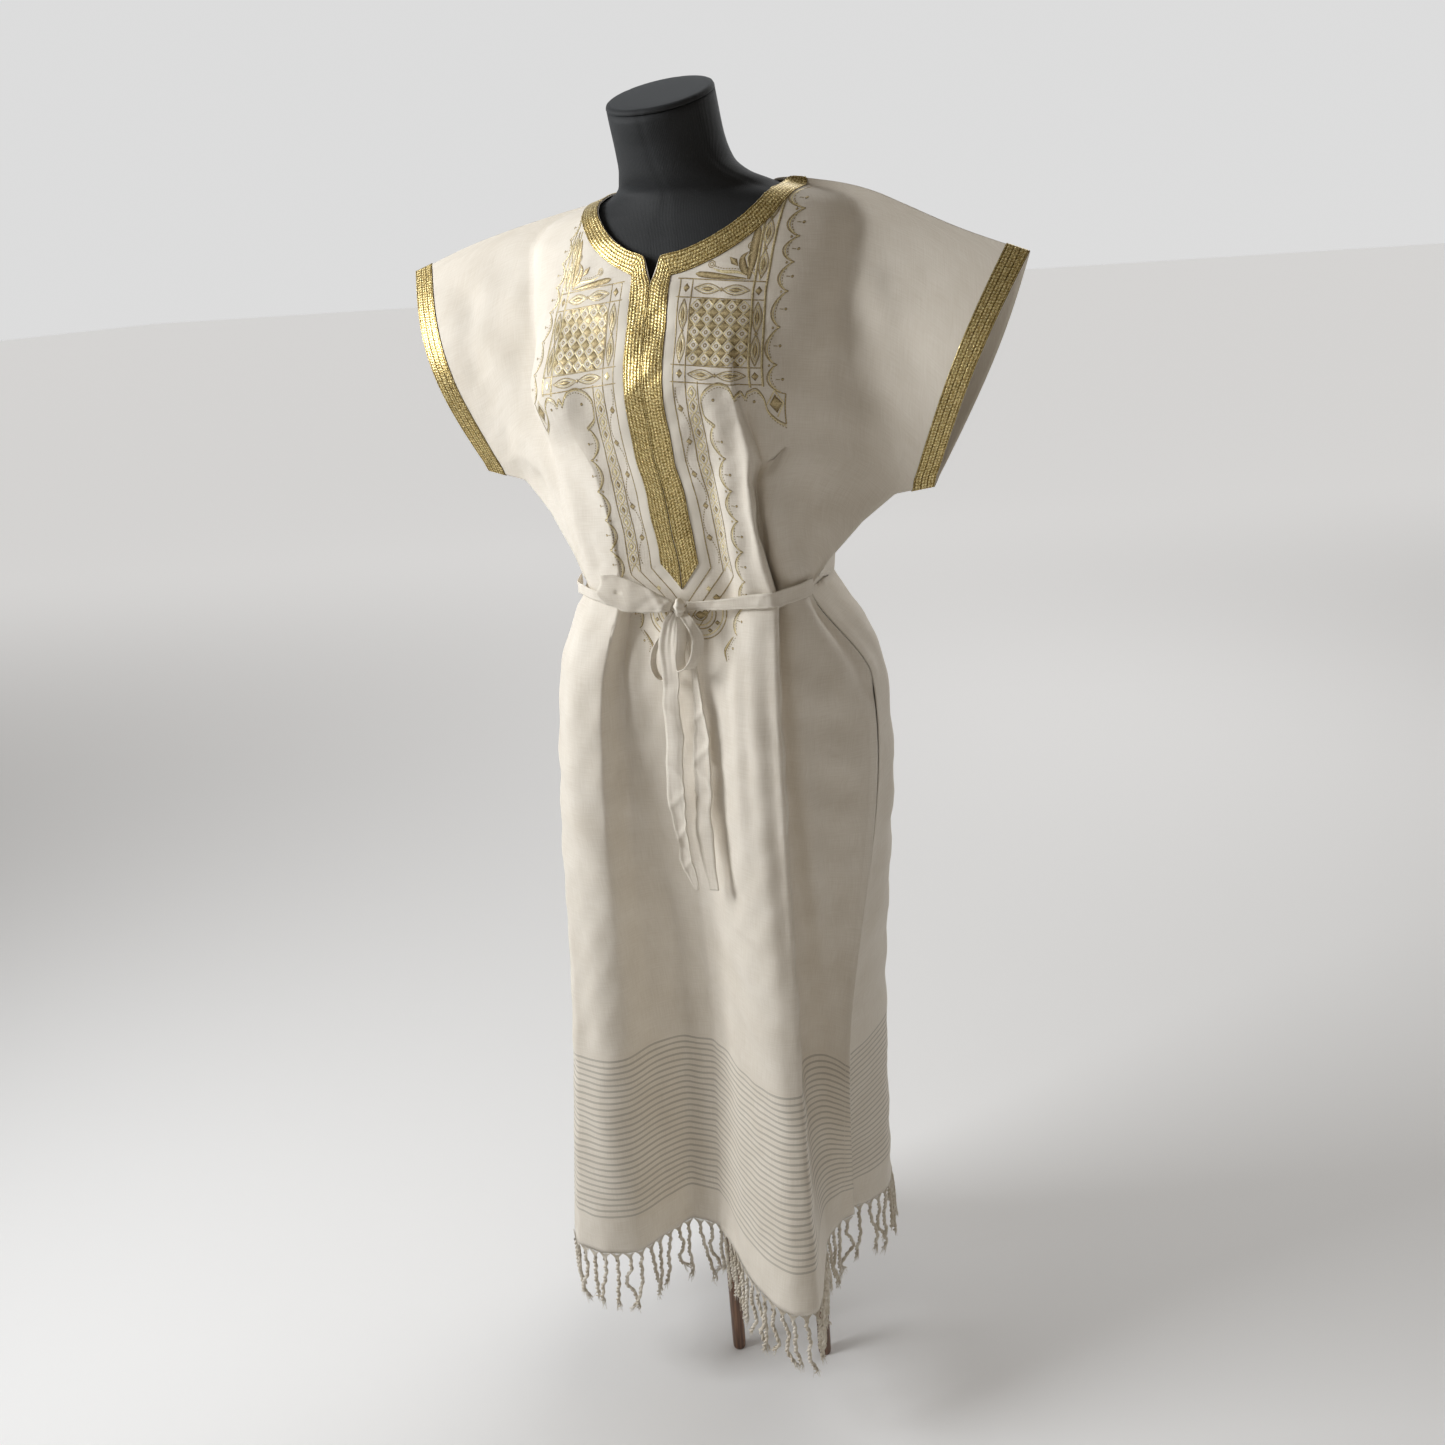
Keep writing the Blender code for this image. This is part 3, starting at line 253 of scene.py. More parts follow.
def bust_bump(x, z, spanned):
    """How far the bust stands out, or the cloth that spans the hollow between its two sides."""
    across = (np.abs(x) - bust_x) / bust_spread
    if spanned:
        across = np.maximum(across, 0)
    up = (z - bust_z) / bust_spread
    return bust_out * np.exp(-0.5 * (across**2 + up**2))


def grid_mesh(points, closed=False):
    """A bmesh grid laid on an array of points, rows by columns. A closed one meets itself."""
    if closed:
        points = np.concatenate([points, points[:, :1]], axis=1)
    rows, columns = points.shape[:2]
    bm = bmesh.new()
    bmesh.ops.create_grid(bm, x_segments=columns - 1, y_segments=rows - 1, size=1)
    for vert in bm.verts:
        column = round((vert.co.x + 1) / 2 * (columns - 1))
        row = round((vert.co.y + 1) / 2 * (rows - 1))
        vert.co = points[row, column]
    if closed:
        bmesh.ops.remove_doubles(bm, verts=bm.verts, dist=0.000001)
    return bm


def close_ends(bm):
    bmesh.ops.holes_fill(bm, edges=[edge for edge in bm.edges if edge.is_boundary], sides=0)


def finish_mesh(name, bm, material, outward=True):
    """The bmesh as a smooth piece with its material, riding with the whole."""
    if outward:
        bmesh.ops.recalc_face_normals(bm, faces=bm.faces)
    mesh = bpy.data.meshes.new(name)
    bm.to_mesh(mesh)
    bm.free()
    mesh.materials.append(material)
    made = link(bpy.data.objects.new(name, mesh))
    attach(made, "root")
    return made


def sums(tree, operation, *values):
    """The output of a Math node."""
    made = add(tree, "ShaderNodeMath", operation=operation)
    for socket, value in zip(made.inputs, values):
        feed(tree, socket, value)
    return made.outputs[0]


def mixed(tree, factor, first, second, blend="MIX"):
    """The colour output of a Mix node."""
    made = add(tree, "ShaderNodeMix", data_type="RGBA", blend_type=blend)
    for place, value in ((0, factor), (6, first), (7, second)):
        feed(tree, made.inputs[place], value)
    return made.outputs[2]


def noise(tree, place, scale, detail):
    """A noise's output. A scale of three parts stretches it."""
    if isinstance(scale, tuple):
        place, scale = add(tree, "ShaderNodeMapping", Vector=place, Scale=scale).outputs["Vector"], 1.0
    return add(tree, "ShaderNodeTexNoise", Vector=place, Scale=scale, Detail=detail).outputs["Fac"]


def bump(tree, height, distance, strength, **under):
    made = add(tree, "ShaderNodeBump", Height=height, Distance=distance, Strength=strength, **under)
    return made.outputs["Normal"]


def jersey_material():
    """Black cotton jersey: fine ribs of knit, a little lint and a soft grazing sheen."""
    made, tree, shader, place = new_material(
        "black_jersey", (0.006, 0.0075, 0.009), 0.74,
        Sheen_Weight=0.07, Sheen_Roughness=0.45, Sheen_Tint=(0.55, 0.65, 0.75, 1),
    )
    ribs = add(tree, "ShaderNodeTexWave", Vector=place, Scale=190.0, Distortion=1.5, Detail=1.0)
    lint, cloud = noise(tree, place, 900.0, 3.0), noise(tree, place, 9.0, 2.0)
    faded = ramp(tree, cloud, (0.3, (0.0036, 0.0046, 0.0056)), (0.7, (0.0074, 0.0090, 0.0108)))
    specks = ramp(tree, lint, (0.55, (0, 0, 0)), (0.8, (0.010, 0.011, 0.012)))
    feed(tree, shader.inputs["Base Color"], mixed(tree, 1.0, faded, specks, "ADD"))
    rough = bump(tree, lint, 0.0004, 0.5)
    feed(tree, shader.inputs["Normal"], bump(tree, ribs.outputs["Fac"], 0.0003, 0.4, Normal=rough))
    return made


jersey = jersey_material()
torso_sides, cover_panels, seam_deep, usual_radius = 96, 6, 0.0007, 0.06
cap_start_z = 1.500
turn = np.linspace(0, 2 * np.pi, torso_sides, endpoint=False)
heights = np.concatenate([np.linspace(a, b, 5)[:-1] for a, b in zip(torso_rings[:-1, 0], torso_rings[1:, 0])])
rings = []
for z in np.append(heights, torso_rings[-1, 0]):
    size = torso_sizes(np.array(z))
    bend = 2 / size["power"]
    x = size["lean"] + size["half"] * np.sign(np.sin(turn)) * np.abs(np.sin(turn)) ** bend
    depth = np.where(np.cos(turn) > 0, size["front"], size["back"])
    y = size["centre"] - depth * np.sign(np.cos(turn)) * np.abs(np.cos(turn)) ** bend
    y = y - np.where(np.cos(turn) > 0, bust_bump(x, z, False), 0.0)
    leaning = cap_tilt * ease_in((z - cap_start_z) / (torso_rings[-1, 0] - cap_start_z))
    rings.append(np.stack([x, y, z + leaning * (y - size["centre"])], -1))
rings = np.array(rings)
middles = rings.mean(axis=1, keepdims=True)
in_seam = np.cos(turn * cover_panels / 2) ** 200
rings = middles + (rings - middles) * (1 - seam_deep / usual_radius * in_seam[None, :, None])
tip = np.array((0, -np.sin(np.arctan(cap_tilt)), np.cos(np.arctan(cap_tilt))))
rim_middle = middles[-1]
# The cover turns over the board's edge in a small round lip and lies flat on top.
cap_steps = (
    (1.004, 0.0012), (1.000, 0.0030), (0.985, 0.0048), (0.955, 0.0058), (0.90, 0.0060), (0.5, 0.0062),
    (0.02, 0.0062),
)
cap_rings = [rim_middle + (rings[-1] - rim_middle) * grow + tip * up for grow, up in cap_steps]
bottom_steps = ((0.02, 0.0), (0.6, 0.0), (0.97, 0.0005))
bottom = [middles[0] + (rings[0] - middles[0]) * grow + (0, 0, drop) for grow, drop in bottom_steps]
for name, shape, node in (
    ("form_cover", np.concatenate([bottom, rings]), "dress_form"),
    ("neck_board", np.array(cap_rings), "neck_cap"),
):
    bm = grid_mesh(shape + axis, closed=True)
    close_ends(bm)
    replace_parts(finish_mesh(name, bm, jersey), node)

# Stand
# A steel tube under the torso, screwed into a turned beech hub with three bent wooden legs,
# stained brown and varnished. Only the feet of the front legs show under the fringe.
hub_radius, hub_low, hub_high = 0.030, 0.270, 0.330
leg_radius, leg_top, leg_bend, leg_stub, gap = 0.0085, 0.300, 0.165, 0.012, 0.0003
feet = (
    ("leg_front_right", -0.027, -0.056),
    ("leg_front_left", 0.085, -0.030),
    ("leg_back", -0.055, 0.125),
)


def wood_material():
    """Stained beech: long grain, darker pores and a satin varnish."""
    made, tree, shader, place = new_material(
        "stained_wood", (0.2, 0.1, 0.055), 0.42, Coat_Weight=0.3, Coat_Roughness=0.3
    )
    grain = noise(tree, place, (260.0, 260.0, 14.0), 6.0)
    stain = ((0.30, (0.060, 0.026, 0.014)), (0.50, (0.170, 0.082, 0.042)), (0.72, (0.290, 0.150, 0.080)))
    feed(tree, shader.inputs["Base Color"], ramp(tree, grain, *stain))
    feed(tree, shader.inputs["Normal"], bump(tree, grain, 0.0003, 0.5))
    return made


wood = wood_material()
steel, tree, shader, place = new_material("brushed_tube", (0.55, 0.55, 0.56), 0.32, Metallic=1.0)
scratches = noise(tree, place, (90.0, 90.0, 4000.0), 3.0)
feed(tree, shader.inputs["Normal"], bump(tree, scratches, 0.0001, 0.4))


def turned_mesh(profile, sides):
    """A closed turned shape on the pole's line, from (radius, height) steps that start and end on it."""
    bm = bmesh.new()
    verts = [bm.verts.new((radius, 0, height)) for radius, height in profile]
    edges = [bm.edges.new(pair) for pair in zip(verts[:-1], verts[1:])]
    bmesh.ops.spin(
        bm, geom=verts + edges, cent=(0, 0, 0), axis=(0, 0, 1), angle=2 * np.pi, steps=sides, use_merge=True
    )
    bmesh.ops.remove_doubles(bm, verts=bm.verts, dist=0.000001)
    bmesh.ops.translate(bm, verts=bm.verts, vec=axis.tolist())
    return bm


def round_tube(route, radii, sides=20):
    """A closed round tube along an array of points, with one radius for each."""
    along = np.gradient(route, axis=0)
    along /= np.linalg.norm(along, axis=1, keepdims=True)
    start = np.array((0.0, 1.0, 0.0)) if abs(along[0][1]) < 0.9 else np.array((1.0, 0.0, 0.0))
    around = np.linspace(0, 2 * np.pi, sides, endpoint=False)
    rings = []
    for centre, way, radius in zip(route, along, radii):
        start = start - way * (start @ way)
        start /= np.linalg.norm(start)
        other = np.cross(way, start)
        rings.append(centre + radius * (np.cos(around)[:, None] * start + np.sin(around)[:, None] * other))
    bm = grid_mesh(np.array(rings), closed=True)
    close_ends(bm)
    return bm


tube_top, tube_radius, groove = torso_rings[0, 0] - gap, 0.013, 0.0006
bm = turned_mesh(
    (
        (0, hub_high + gap), (tube_radius - 0.001, hub_high + gap), (tube_radius, hub_high + 0.0015),
        (tube_radius, 0.520), (tube_radius - groove, 0.5205), (tube_radius - groove, 0.522),
        (tube_radius, 0.5225), (tube_radius, tube_top - 0.001), (tube_radius - 0.001, tube_top),
        (0, tube_top),
    ),
    sides=40,
)
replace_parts(finish_mesh("steel_tube", bm, steel), "pole")
bm = turned_mesh(
    (
        (0, hub_low), (hub_radius - 0.008, hub_low), (hub_radius - 0.003, hub_low + 0.002),
        (hub_radius, hub_low + 0.007), (hub_radius, 0.283), (hub_radius - 0.0015, 0.285),
        (hub_radius, 0.287), (hub_radius, 0.313), (hub_radius - 0.0015, 0.315),
        (hub_radius, 0.317), (hub_radius, hub_high - 0.007),
        (hub_radius - 0.003, hub_high - 0.002), (hub_radius - 0.008, hub_high), (0, hub_high),
    ),
    sides=48,
)
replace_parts(finish_mesh("turned_hub", bm, wood), "hub")
for name, x, y in feet:
    reach = np.hypot(x, y)
    out = np.array((x, y, 0.0)) / reach
    near = hub_radius + leg_stub
    bends = np.radians(np.linspace(0, 90, 13))
    arms = [out * (hub_radius + gap) + (0, 0, leg_top)]
    for bend in bends:
        level = leg_top - (leg_top - leg_bend) * (1 - np.cos(bend))
        arms.append(out * (near + (reach - near) * np.sin(bend)) + (0, 0, level))
    for level in (0.14, 0.11, 0.08, 0.05, 0.03, 0.012, 0.005, 0.0015, 0.0):
        arms.append(np.array((x, y, level)))
    radii = np.full(len(arms), leg_radius)
    radii[-4:] = leg_radius * np.array((1.0, 0.99, 0.95, 0.88))
    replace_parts(finish_mesh(name + "_wood", round_tube(np.array(arms) + axis, radii), wood), name)

# Front and back of the dress
# Two panels of cream plain-weave cotton, each cut in one with its half sleeves, sewn together
# along the shoulders and sides and left open below the hip. Grey stripes are woven in above the hem.
neck_right, neck_left, neck_z = 0.084, 0.112, 1.478
front_neck_drop, back_neck_drop = 0.068, 0.004
notch_x, notch_half, notch_deep = -0.003, 0.009, 0.026
sleeve_deep = 0.044
belt_z, belt_sag, slit_z, knee_z, hem_z = 1.055, 0.008, 0.950, 0.480, 0.200
belt_down, cuff_share, fold_start, edge_share = 0.36, 0.50, 0.20, 0.10
seam_shift = 0.0004
puff_x, puff_z, puff_out, puff_spread = -0.146, 1.276, 0.036, 0.037
# Shoulder line, where front and back meet: x, z
shoulder = np.array(
    (
        (-0.360, 1.411),
        (-0.269, 1.439),
        (-0.161, 1.462),
        (-0.110, 1.471),
        (-neck_right, neck_z),
        (neck_left, neck_z),
        (0.145, 1.473),
        (0.176, 1.466),
        (0.205, 1.456),
        (0.230, 1.444),
        (0.290, 1.415),
        (0.360, 1.387),
    )
)
# Side edges from the cuff's top past the underarm to the belt: share of the way, x, z
right_edge = np.array(
    (
        (0.00, -0.360, 1.411),
        (0.50, -0.278, 1.180),
        (0.62, -0.228, 1.168),
        (0.74, -0.191, 1.132),
        (0.87, -0.161, 1.090),
        (1.00, -0.140, belt_z),
    )
)
left_edge = np.array(
    (
        (0.00, 0.360, 1.387),
        (0.50, 0.264, 1.160),
        (0.62, 0.222, 1.152),
        (0.74, 0.188, 1.124),
        (0.87, 0.156, 1.088),
        (1.00, 0.130, belt_z),
    )
)
# The plane in which front and back meet: z, y
seam_plane = np.array(((1.055, -0.050), (1.125, -0.030), (1.168, -0.015), (1.387, 0.010), (1.478, 0.012)))
# Fold lines from the right side seam to the left one. Columns: place along the shoulder or the
# neckline, then x and y at the belt, at the top of the slit, at the knee and at the hem
front_folds = np.array(
    (
        (-0.360, -0.140, -0.050, -0.188, -0.040, -0.202, -0.100, -0.218, -0.128),
        (-0.262, -0.124, -0.084, -0.164, -0.088, -0.180, -0.126, -0.192, -0.153),
        (-0.172, -0.097, -0.107, -0.134, -0.120, -0.152, -0.131, -0.162, -0.158),
        (-0.084, -0.064, -0.117, -0.092, -0.133, -0.120, -0.118, -0.120, -0.144),
        (-0.062, -0.060, -0.090, -0.076, -0.104, -0.097, -0.076, -0.092, -0.092),
        (-0.032, -0.026, -0.104, -0.041, -0.105, -0.064, -0.051, -0.072, -0.063),
        (-0.00767, 0.002, -0.113, -0.010, -0.108, -0.033, -0.051, -0.038, -0.064),
        (-0.00191, 0.011, -0.114, 0.000, -0.109, -0.020, -0.058, -0.024, -0.076),
        (0.00382, 0.020, -0.113, 0.011, -0.110, -0.006, -0.067, -0.008, -0.092),
        (0.018, 0.040, -0.109, 0.034, -0.115, 0.028, -0.097, 0.030, -0.136),
        (0.029, 0.062, -0.104, 0.062, -0.124, 0.062, -0.121, 0.068, -0.168),
        (0.038, 0.088, -0.114, 0.091, -0.135, 0.097, -0.134, 0.108, -0.184),
        (0.048, 0.114, -0.108, 0.117, -0.128, 0.115, -0.124, 0.134, -0.168),
        (0.058, 0.103, -0.076, 0.110, -0.098, 0.094, -0.064, 0.112, -0.078),
        (0.112, 0.118, -0.083, 0.130, -0.090, 0.106, -0.050, 0.106, -0.047),
        (0.190, 0.131, -0.071, 0.158, -0.066, 0.122, -0.046, 0.108, -0.026),
        (0.270, 0.129, -0.057, 0.176, -0.040, 0.138, -0.049, 0.112, -0.010),
        (0.360, 0.130, -0.050, 0.186, -0.015, 0.150, -0.055, 0.126, 0.004),
    )
)
centre_fold = 7
spanned_belt_y = front_folds[:, 2].copy()
spanned_belt_y[3:6] = (-0.1175, -0.1155, -0.1125)
back_folds = np.array(
    (
        (-0.360, -0.140, -0.050, -0.188, -0.040, -0.208, -0.083, -0.236, -0.088),
        (-0.300, -0.149, -0.012, -0.196, 0.010, -0.222, -0.025, -0.240, -0.020),
        (-0.230, -0.145, 0.030, -0.184, 0.058, -0.208, 0.040, -0.224, 0.050),
        (-0.160, -0.121, 0.060, -0.156, 0.096, -0.176, 0.094, -0.186, 0.118),
        (-0.084, -0.088, 0.078, -0.116, 0.120, -0.132, 0.118, -0.140, 0.150),
        (-0.055, -0.055, 0.082, -0.072, 0.128, -0.088, 0.112, -0.094, 0.132),
        (-0.024, -0.024, 0.094, -0.032, 0.134, -0.044, 0.132, -0.048, 0.146),
        (0.010, 0.006, 0.090, 0.004, 0.129, 0.000, 0.124, -0.002, 0.166),
        (0.046, 0.036, 0.095, 0.040, 0.134, 0.042, 0.136, 0.044, 0.152),
        (0.078, 0.060, 0.083, 0.074, 0.126, 0.082, 0.118, 0.086, 0.126),
        (0.112, 0.084, 0.078, 0.108, 0.118, 0.118, 0.126, 0.120, 0.138),
        (0.180, 0.112, 0.058, 0.146, 0.096, 0.146, 0.104, 0.142, 0.114),
        (0.240, 0.134, 0.028, 0.176, 0.060, 0.160, 0.060, 0.150, 0.074),
        (0.300, 0.135, -0.014, 0.188, 0.020, 0.155, 0.010, 0.137, 0.038),
        (0.360, 0.130, -0.050, 0.186, -0.015, 0.141, -0.036, 0.117, 0.018),
    )
)


def body_depth(x, z, side):
    """How far the cloth over the form lies from the plane y = 0, in front or behind it."""
    ring = torso_sizes(z)
    share = np.abs(x - ring["lean"]) / (ring["half"] + ring["ease"])
    inside = np.clip(share, 0, 1)
    round_off = (1 - inside ** ring["power"]) ** (1 / ring["power"]) - 20.0 * (share - inside)
    if side == "front":
        from_puff = ((x - puff_x) / puff_spread) ** 2 + ((z - puff_z) / puff_spread) ** 2
        puff = puff_out * np.exp(-0.5 * from_puff)
        return (ring["front"] + ring["ease"]) * round_off - ring["centre"] + bust_bump(x, z, True) + puff
    return (ring["back"] + ring["ease"]) * round_off + ring["centre"]


def shoulder_z(x):
    return through(shoulder[:, 0], shoulder[:, 1], x)[..., 0]


def seam_y(z):
    return through(seam_plane[:, 0], seam_plane[:, 1], z)[..., 0]


def cloth_y(x, z, side):
    """The cloth above the belt: over the form in the middle, a flat tube in the sleeves."""
    lower = np.concatenate([right_edge[1:], left_edge[:0:-1]])
    low = np.interp(x, lower[:, 1], lower[:, 2])
    high = shoulder_z(x)
    down = np.clip((high - z) / (high - low), 0, 1)
    facing = -1.0 if side == "front" else 1.0
    tent = facing * seam_y(z) + sleeve_deep * np.sin(np.pi * down)
    body = body_depth(x, z, side)
    blend = 0.024 * np.sqrt(np.clip(4 * down * (1 - down), 0, 1))
    return facing * 0.5 * (tent + body + np.sqrt((tent - body) ** 2 + blend**2))


def neck_x(top):
    """x of a fold line's start. Between the neck's corners the lines crowd towards the corners."""
    half = np.where(top < 0, neck_right, neck_left)
    inside = np.clip(top / half, -1, 1)
    return np.where(np.abs(top) < half, half * np.sin(inside * np.pi / 2), top)


def neckline_z(x, side):
    """Top edge between the shoulders. The front one drops in a curve to a small notch."""
    half = np.where(x < 0, neck_right, neck_left)
    inside = np.clip(1 - np.abs(x / half) ** 1.7, 0, 1)
    if side == "back":
        return neck_z - back_neck_drop * inside
    notch = notch_deep * np.clip(1 - np.abs(x - notch_x) / notch_half, 0, 1)
    return neck_z - front_neck_drop * inside**0.62 - notch


def fold_shares(table):
    """Place of each fold line across the panel, from 0 to 1, from the mean cloth between them."""
    shares = []
    for column in (5, 7):
        lengths = np.hypot(*np.diff(table[:, column:column + 2], axis=0).T)
        shares.append(lengths / lengths.sum())
    return np.concatenate([[0], np.cumsum(np.mean(shares, axis=0))])


def slit_seam(level, across):
    """x and y of the sewn side seam between the belt and the top of the slit."""
    share = np.clip((belt_z - level) / (belt_z - slit_z), 0, 1)[..., None]
    first, last = front_folds[0, 1:5].reshape(2, 2), front_folds[-1, 1:5].reshape(2, 2)
    ends = np.where((across < 0.5)[..., None, None], first, last)
    eased = 0.5 * share + 0.5 * ease_in(share)
    return ends[..., 0, :] * (1 - eased) + ends[..., 1, :] * eased


def lofted(values, level):
    """A coordinate at each height, through its values at the belt, slit, knee and hem."""
    knots = np.array([belt_z, slit_z, knee_z, hem_z])
    step = np.diff(knots)
    rise = np.diff(values, axis=-1) / step
    second = (rise[..., 0] + 2 * rise[..., 1]) / 3
    third = (rise[..., 1] + rise[..., 2]) / 2
    slope = np.stack([rise[..., 0], second, third, rise[..., 2]], -1)
    i = np.clip(np.searchsorted(-knots, -level, side="right") - 1, 0, 2)
    h = step[i]
    t = (level - knots[i]) / h
    ends = [np.take_along_axis(row, i[..., None] + k, -1)[..., 0] for row in (values, slope) for k in (0, 1)]
    return eased_between(t, h, *ends)


def panel_point(across, down, side):
    """A point on the inner face of a panel, from the pole's middle line.

    across runs from the right side seam, 0, to the left one, 1, and down from the shoulder
    seam and neckline, 0, past the belt at belt_down to the hem, 1.
    """
    table = front_folds if side == "front" else back_folds
    across, down = np.broadcast_arrays(np.asarray(across, float), np.asarray(down, float))
    line = through(fold_shares(table), table, across)
    top_x, belt_x, belt_y = neck_x(line[..., 0]), line[..., 1], line[..., 2]
    sides = np.where(belt_x < 0, right_edge[-1, 1], left_edge[-1, 1])
    belt_level = belt_z - belt_sag * np.clip(1 - (belt_x / sides) ** 2, 0, 1)
    p = np.clip(down / belt_down, 0, 1)
    x = (1 - p) * top_x + p * belt_x
    z = p * belt_level
    for edge, weight in ((right_edge, 1 - 2 * across), (left_edge, 2 * across - 1)):
        weight = np.clip(weight, 0, 1)
        x = x + weight * (np.interp(p, edge[:, 0], edge[:, 1]) - (1 - p) * edge[0, 1] - p * edge[-1, 1])
        z = z + weight * (np.interp(p, edge[:, 0], edge[:, 2]) - (1 - p) * edge[0, 2] - p * edge[-1, 2])
    open_neck = (top_x > -neck_right) & (top_x < neck_left)
    z = z + (1 - p) * np.where(open_neck, neckline_z(top_x, side), shoulder_z(top_x))
    y = cloth_y(x, z, side)
    if side == "front":
        # Above the belt the cloth spans the left pleat's hollow
        eased = through(fold_shares(table), spanned_belt_y, across)[..., 0]
        belt_y = eased + ease_in((p - 0.90) / 0.10) * (belt_y - eased)
    at_belt = belt_y - cloth_y(belt_x, belt_level, side)
    near_edge = ease_in(1 - np.minimum(across, 1 - across) / edge_share)
    gather = ease_in((p - fold_start) / (1 - fold_start)) ** 0.7
    if side == "back":
        gather = ease_in((p - cuff_share) / (1 - cuff_share))
    facing = -1.0 if side == "front" else 1.0
    y = facing * np.maximum(facing * (y + at_belt * gather * (1 - near_edge)), facing * seam_y(z))
    sewn = ease_in(1 - np.minimum(across, 1 - across) / 0.03) * ease_in((p - 0.85) / 0.08)
    y = y + sewn * (seam_y(z) - y)
    upper = np.stack([x, y, z], -1)
    q = np.clip((down - belt_down) / (1 - belt_down), 0, 1)
    level = belt_level + q * (hem_z - belt_level)
    edge_line = np.where((across < 0.5)[..., None], table[0], table[-1])
    sewn = near_edge * ease_in((level - slit_z) / 0.01)
    seam = slit_seam(level, across)
    lower_x = lofted(line[..., 1::2], level) + sewn * (seam[..., 0] - lofted(edge_line[..., 1::2], level))
    lower_y = lofted(line[..., 2::2], level) + sewn * (seam[..., 1] - lofted(edge_line[..., 2::2], level))
    lower = np.stack([lower_x, lower_y, level], -1)
    point = np.where((down < belt_down)[..., None], upper, lower)
    point[..., 1] += -seam_shift if side == "front" else seam_shift
    return point


def unit(vectors):
    return vectors / np.linalg.norm(vectors, axis=-1, keepdims=True)


def grid_normal(points, side):
    """The outward direction at each point of a panel's grid."""
    along = np.gradient(points, axis=0)
    wide = np.gradient(points, axis=1)
    normal = np.cross(wide, along)
    return unit(normal) if side == "front" else -unit(normal)


# Soft creases that wear, pressing and hanging leave: where each starts and ends as seen from the
# front, how far it bows, how deep it is (a trough is negative) and how wide
front_creases = (
    (0.205, 1.440, 0.232, 1.290, 0.010, -0.0022, 0.0100),
    (0.250, 1.425, 0.262, 1.330, -0.006, 0.0018, 0.0080),
    (0.190, 1.380, 0.155, 1.190, 0.014, -0.0036, 0.0180),
    (0.235, 1.300, 0.165, 1.130, 0.012, 0.0024, 0.0150),
    (0.215, 1.230, 0.160, 1.115, 0.004, -0.0014, 0.0120),
    (0.109, 1.265, 0.119, 1.048, 0.001, -0.0095, 0.0095),
    (0.087, 1.285, 0.098, 1.048, 0.000, 0.0044, 0.0100),
    (0.146, 1.235, 0.134, 1.055, 0.002, 0.0034, 0.0110),
    (0.292, 1.330, 0.270, 1.200, 0.004, -0.0020, 0.0120),
    (-0.205, 1.440, -0.235, 1.270, -0.012, -0.0026, 0.0120),
    (-0.265, 1.425, -0.262, 1.290, 0.006, 0.0020, 0.0100),
    (-0.195, 1.225, -0.150, 1.115, -0.006, -0.0036, 0.0110),
    (-0.135, 1.215, -0.106, 1.092, -0.006, -0.0042, 0.0100),
    (-0.165, 1.195, -0.126, 1.095, -0.004, 0.0034, 0.0100),
    (-0.112, 1.150, -0.088, 1.075, -0.003, 0.0026, 0.0080),
    (-0.205, 1.215, -0.150, 1.110, 0.006, 0.0026, 0.0120),
    (-0.300, 1.380, -0.290, 1.230, 0.006, -0.0016, 0.0140),
    (-0.118, 1.020, -0.142, 0.780, 0.006, -0.0040, 0.0120),
    (-0.085, 1.030, -0.110, 0.700, -0.006, 0.0030, 0.0140),
    (-0.056, 1.040, -0.070, 0.880, 0.002, -0.0050, 0.0070),
    (-0.073, 1.040, -0.090, 0.880, 0.002, 0.0026, 0.0070),
    (0.0700, 1.040, 0.0660, 0.740, 0.000, -0.0030, 0.0060),
    (0.0820, 1.040, 0.0780, 0.760, 0.000, 0.0016, 0.0060),
    (0.1240, 1.045, 0.1250, 0.560, 0.000, -0.0060, 0.0070),
    (0.1070, 1.040, 0.1080, 0.600, 0.000, 0.0026, 0.0060),
    (0.1280, 0.888, 0.1700, 0.866, 0.002, 0.0013, 0.0028),
    (0.1240, 0.818, 0.1680, 0.812, -0.002, 0.0011, 0.0028),
    (0.1260, 0.700, 0.1660, 0.690, 0.003, 0.0009, 0.0030),
    (-0.1700, 0.850, -0.1480, 0.790, 0.002, -0.0010, 0.0028),
    (-0.1640, 0.770, -0.1420, 0.720, 0.002, 0.0010, 0.0028),
    (-0.0600, 0.780, -0.0400, 0.720, 0.002, 0.0009, 0.0030),
    (0.035, 1.010, 0.030, 0.640, 0.004, 0.0026, 0.0140),
    (0.150, 1.000, 0.160, 0.860, -0.004, 0.0024, 0.0080),
    (0.060, 0.900, 0.072, 0.420, 0.004, -0.0030, 0.0160),
    (-0.020, 0.800, -0.034, 0.340, -0.006, 0.0030, 0.0180),
    (-0.150, 0.760, -0.176, 0.330, 0.004, 0.0034, 0.0160),
    (-0.120, 0.560, -0.140, 0.230, 0.004, -0.0030, 0.0140),
    (0.020, 0.560, 0.030, 0.260, 0.004, -0.0024, 0.0120),
    (0.100, 0.640, 0.112, 0.260, 0.003, 0.0022, 0.0100),
    (-0.190, 0.905, 0.120, 0.893, 0.004, 0.0010, 0.0040),
    (-0.200, 0.665, 0.130, 0.658, -0.004, -0.0010, 0.0045),
)
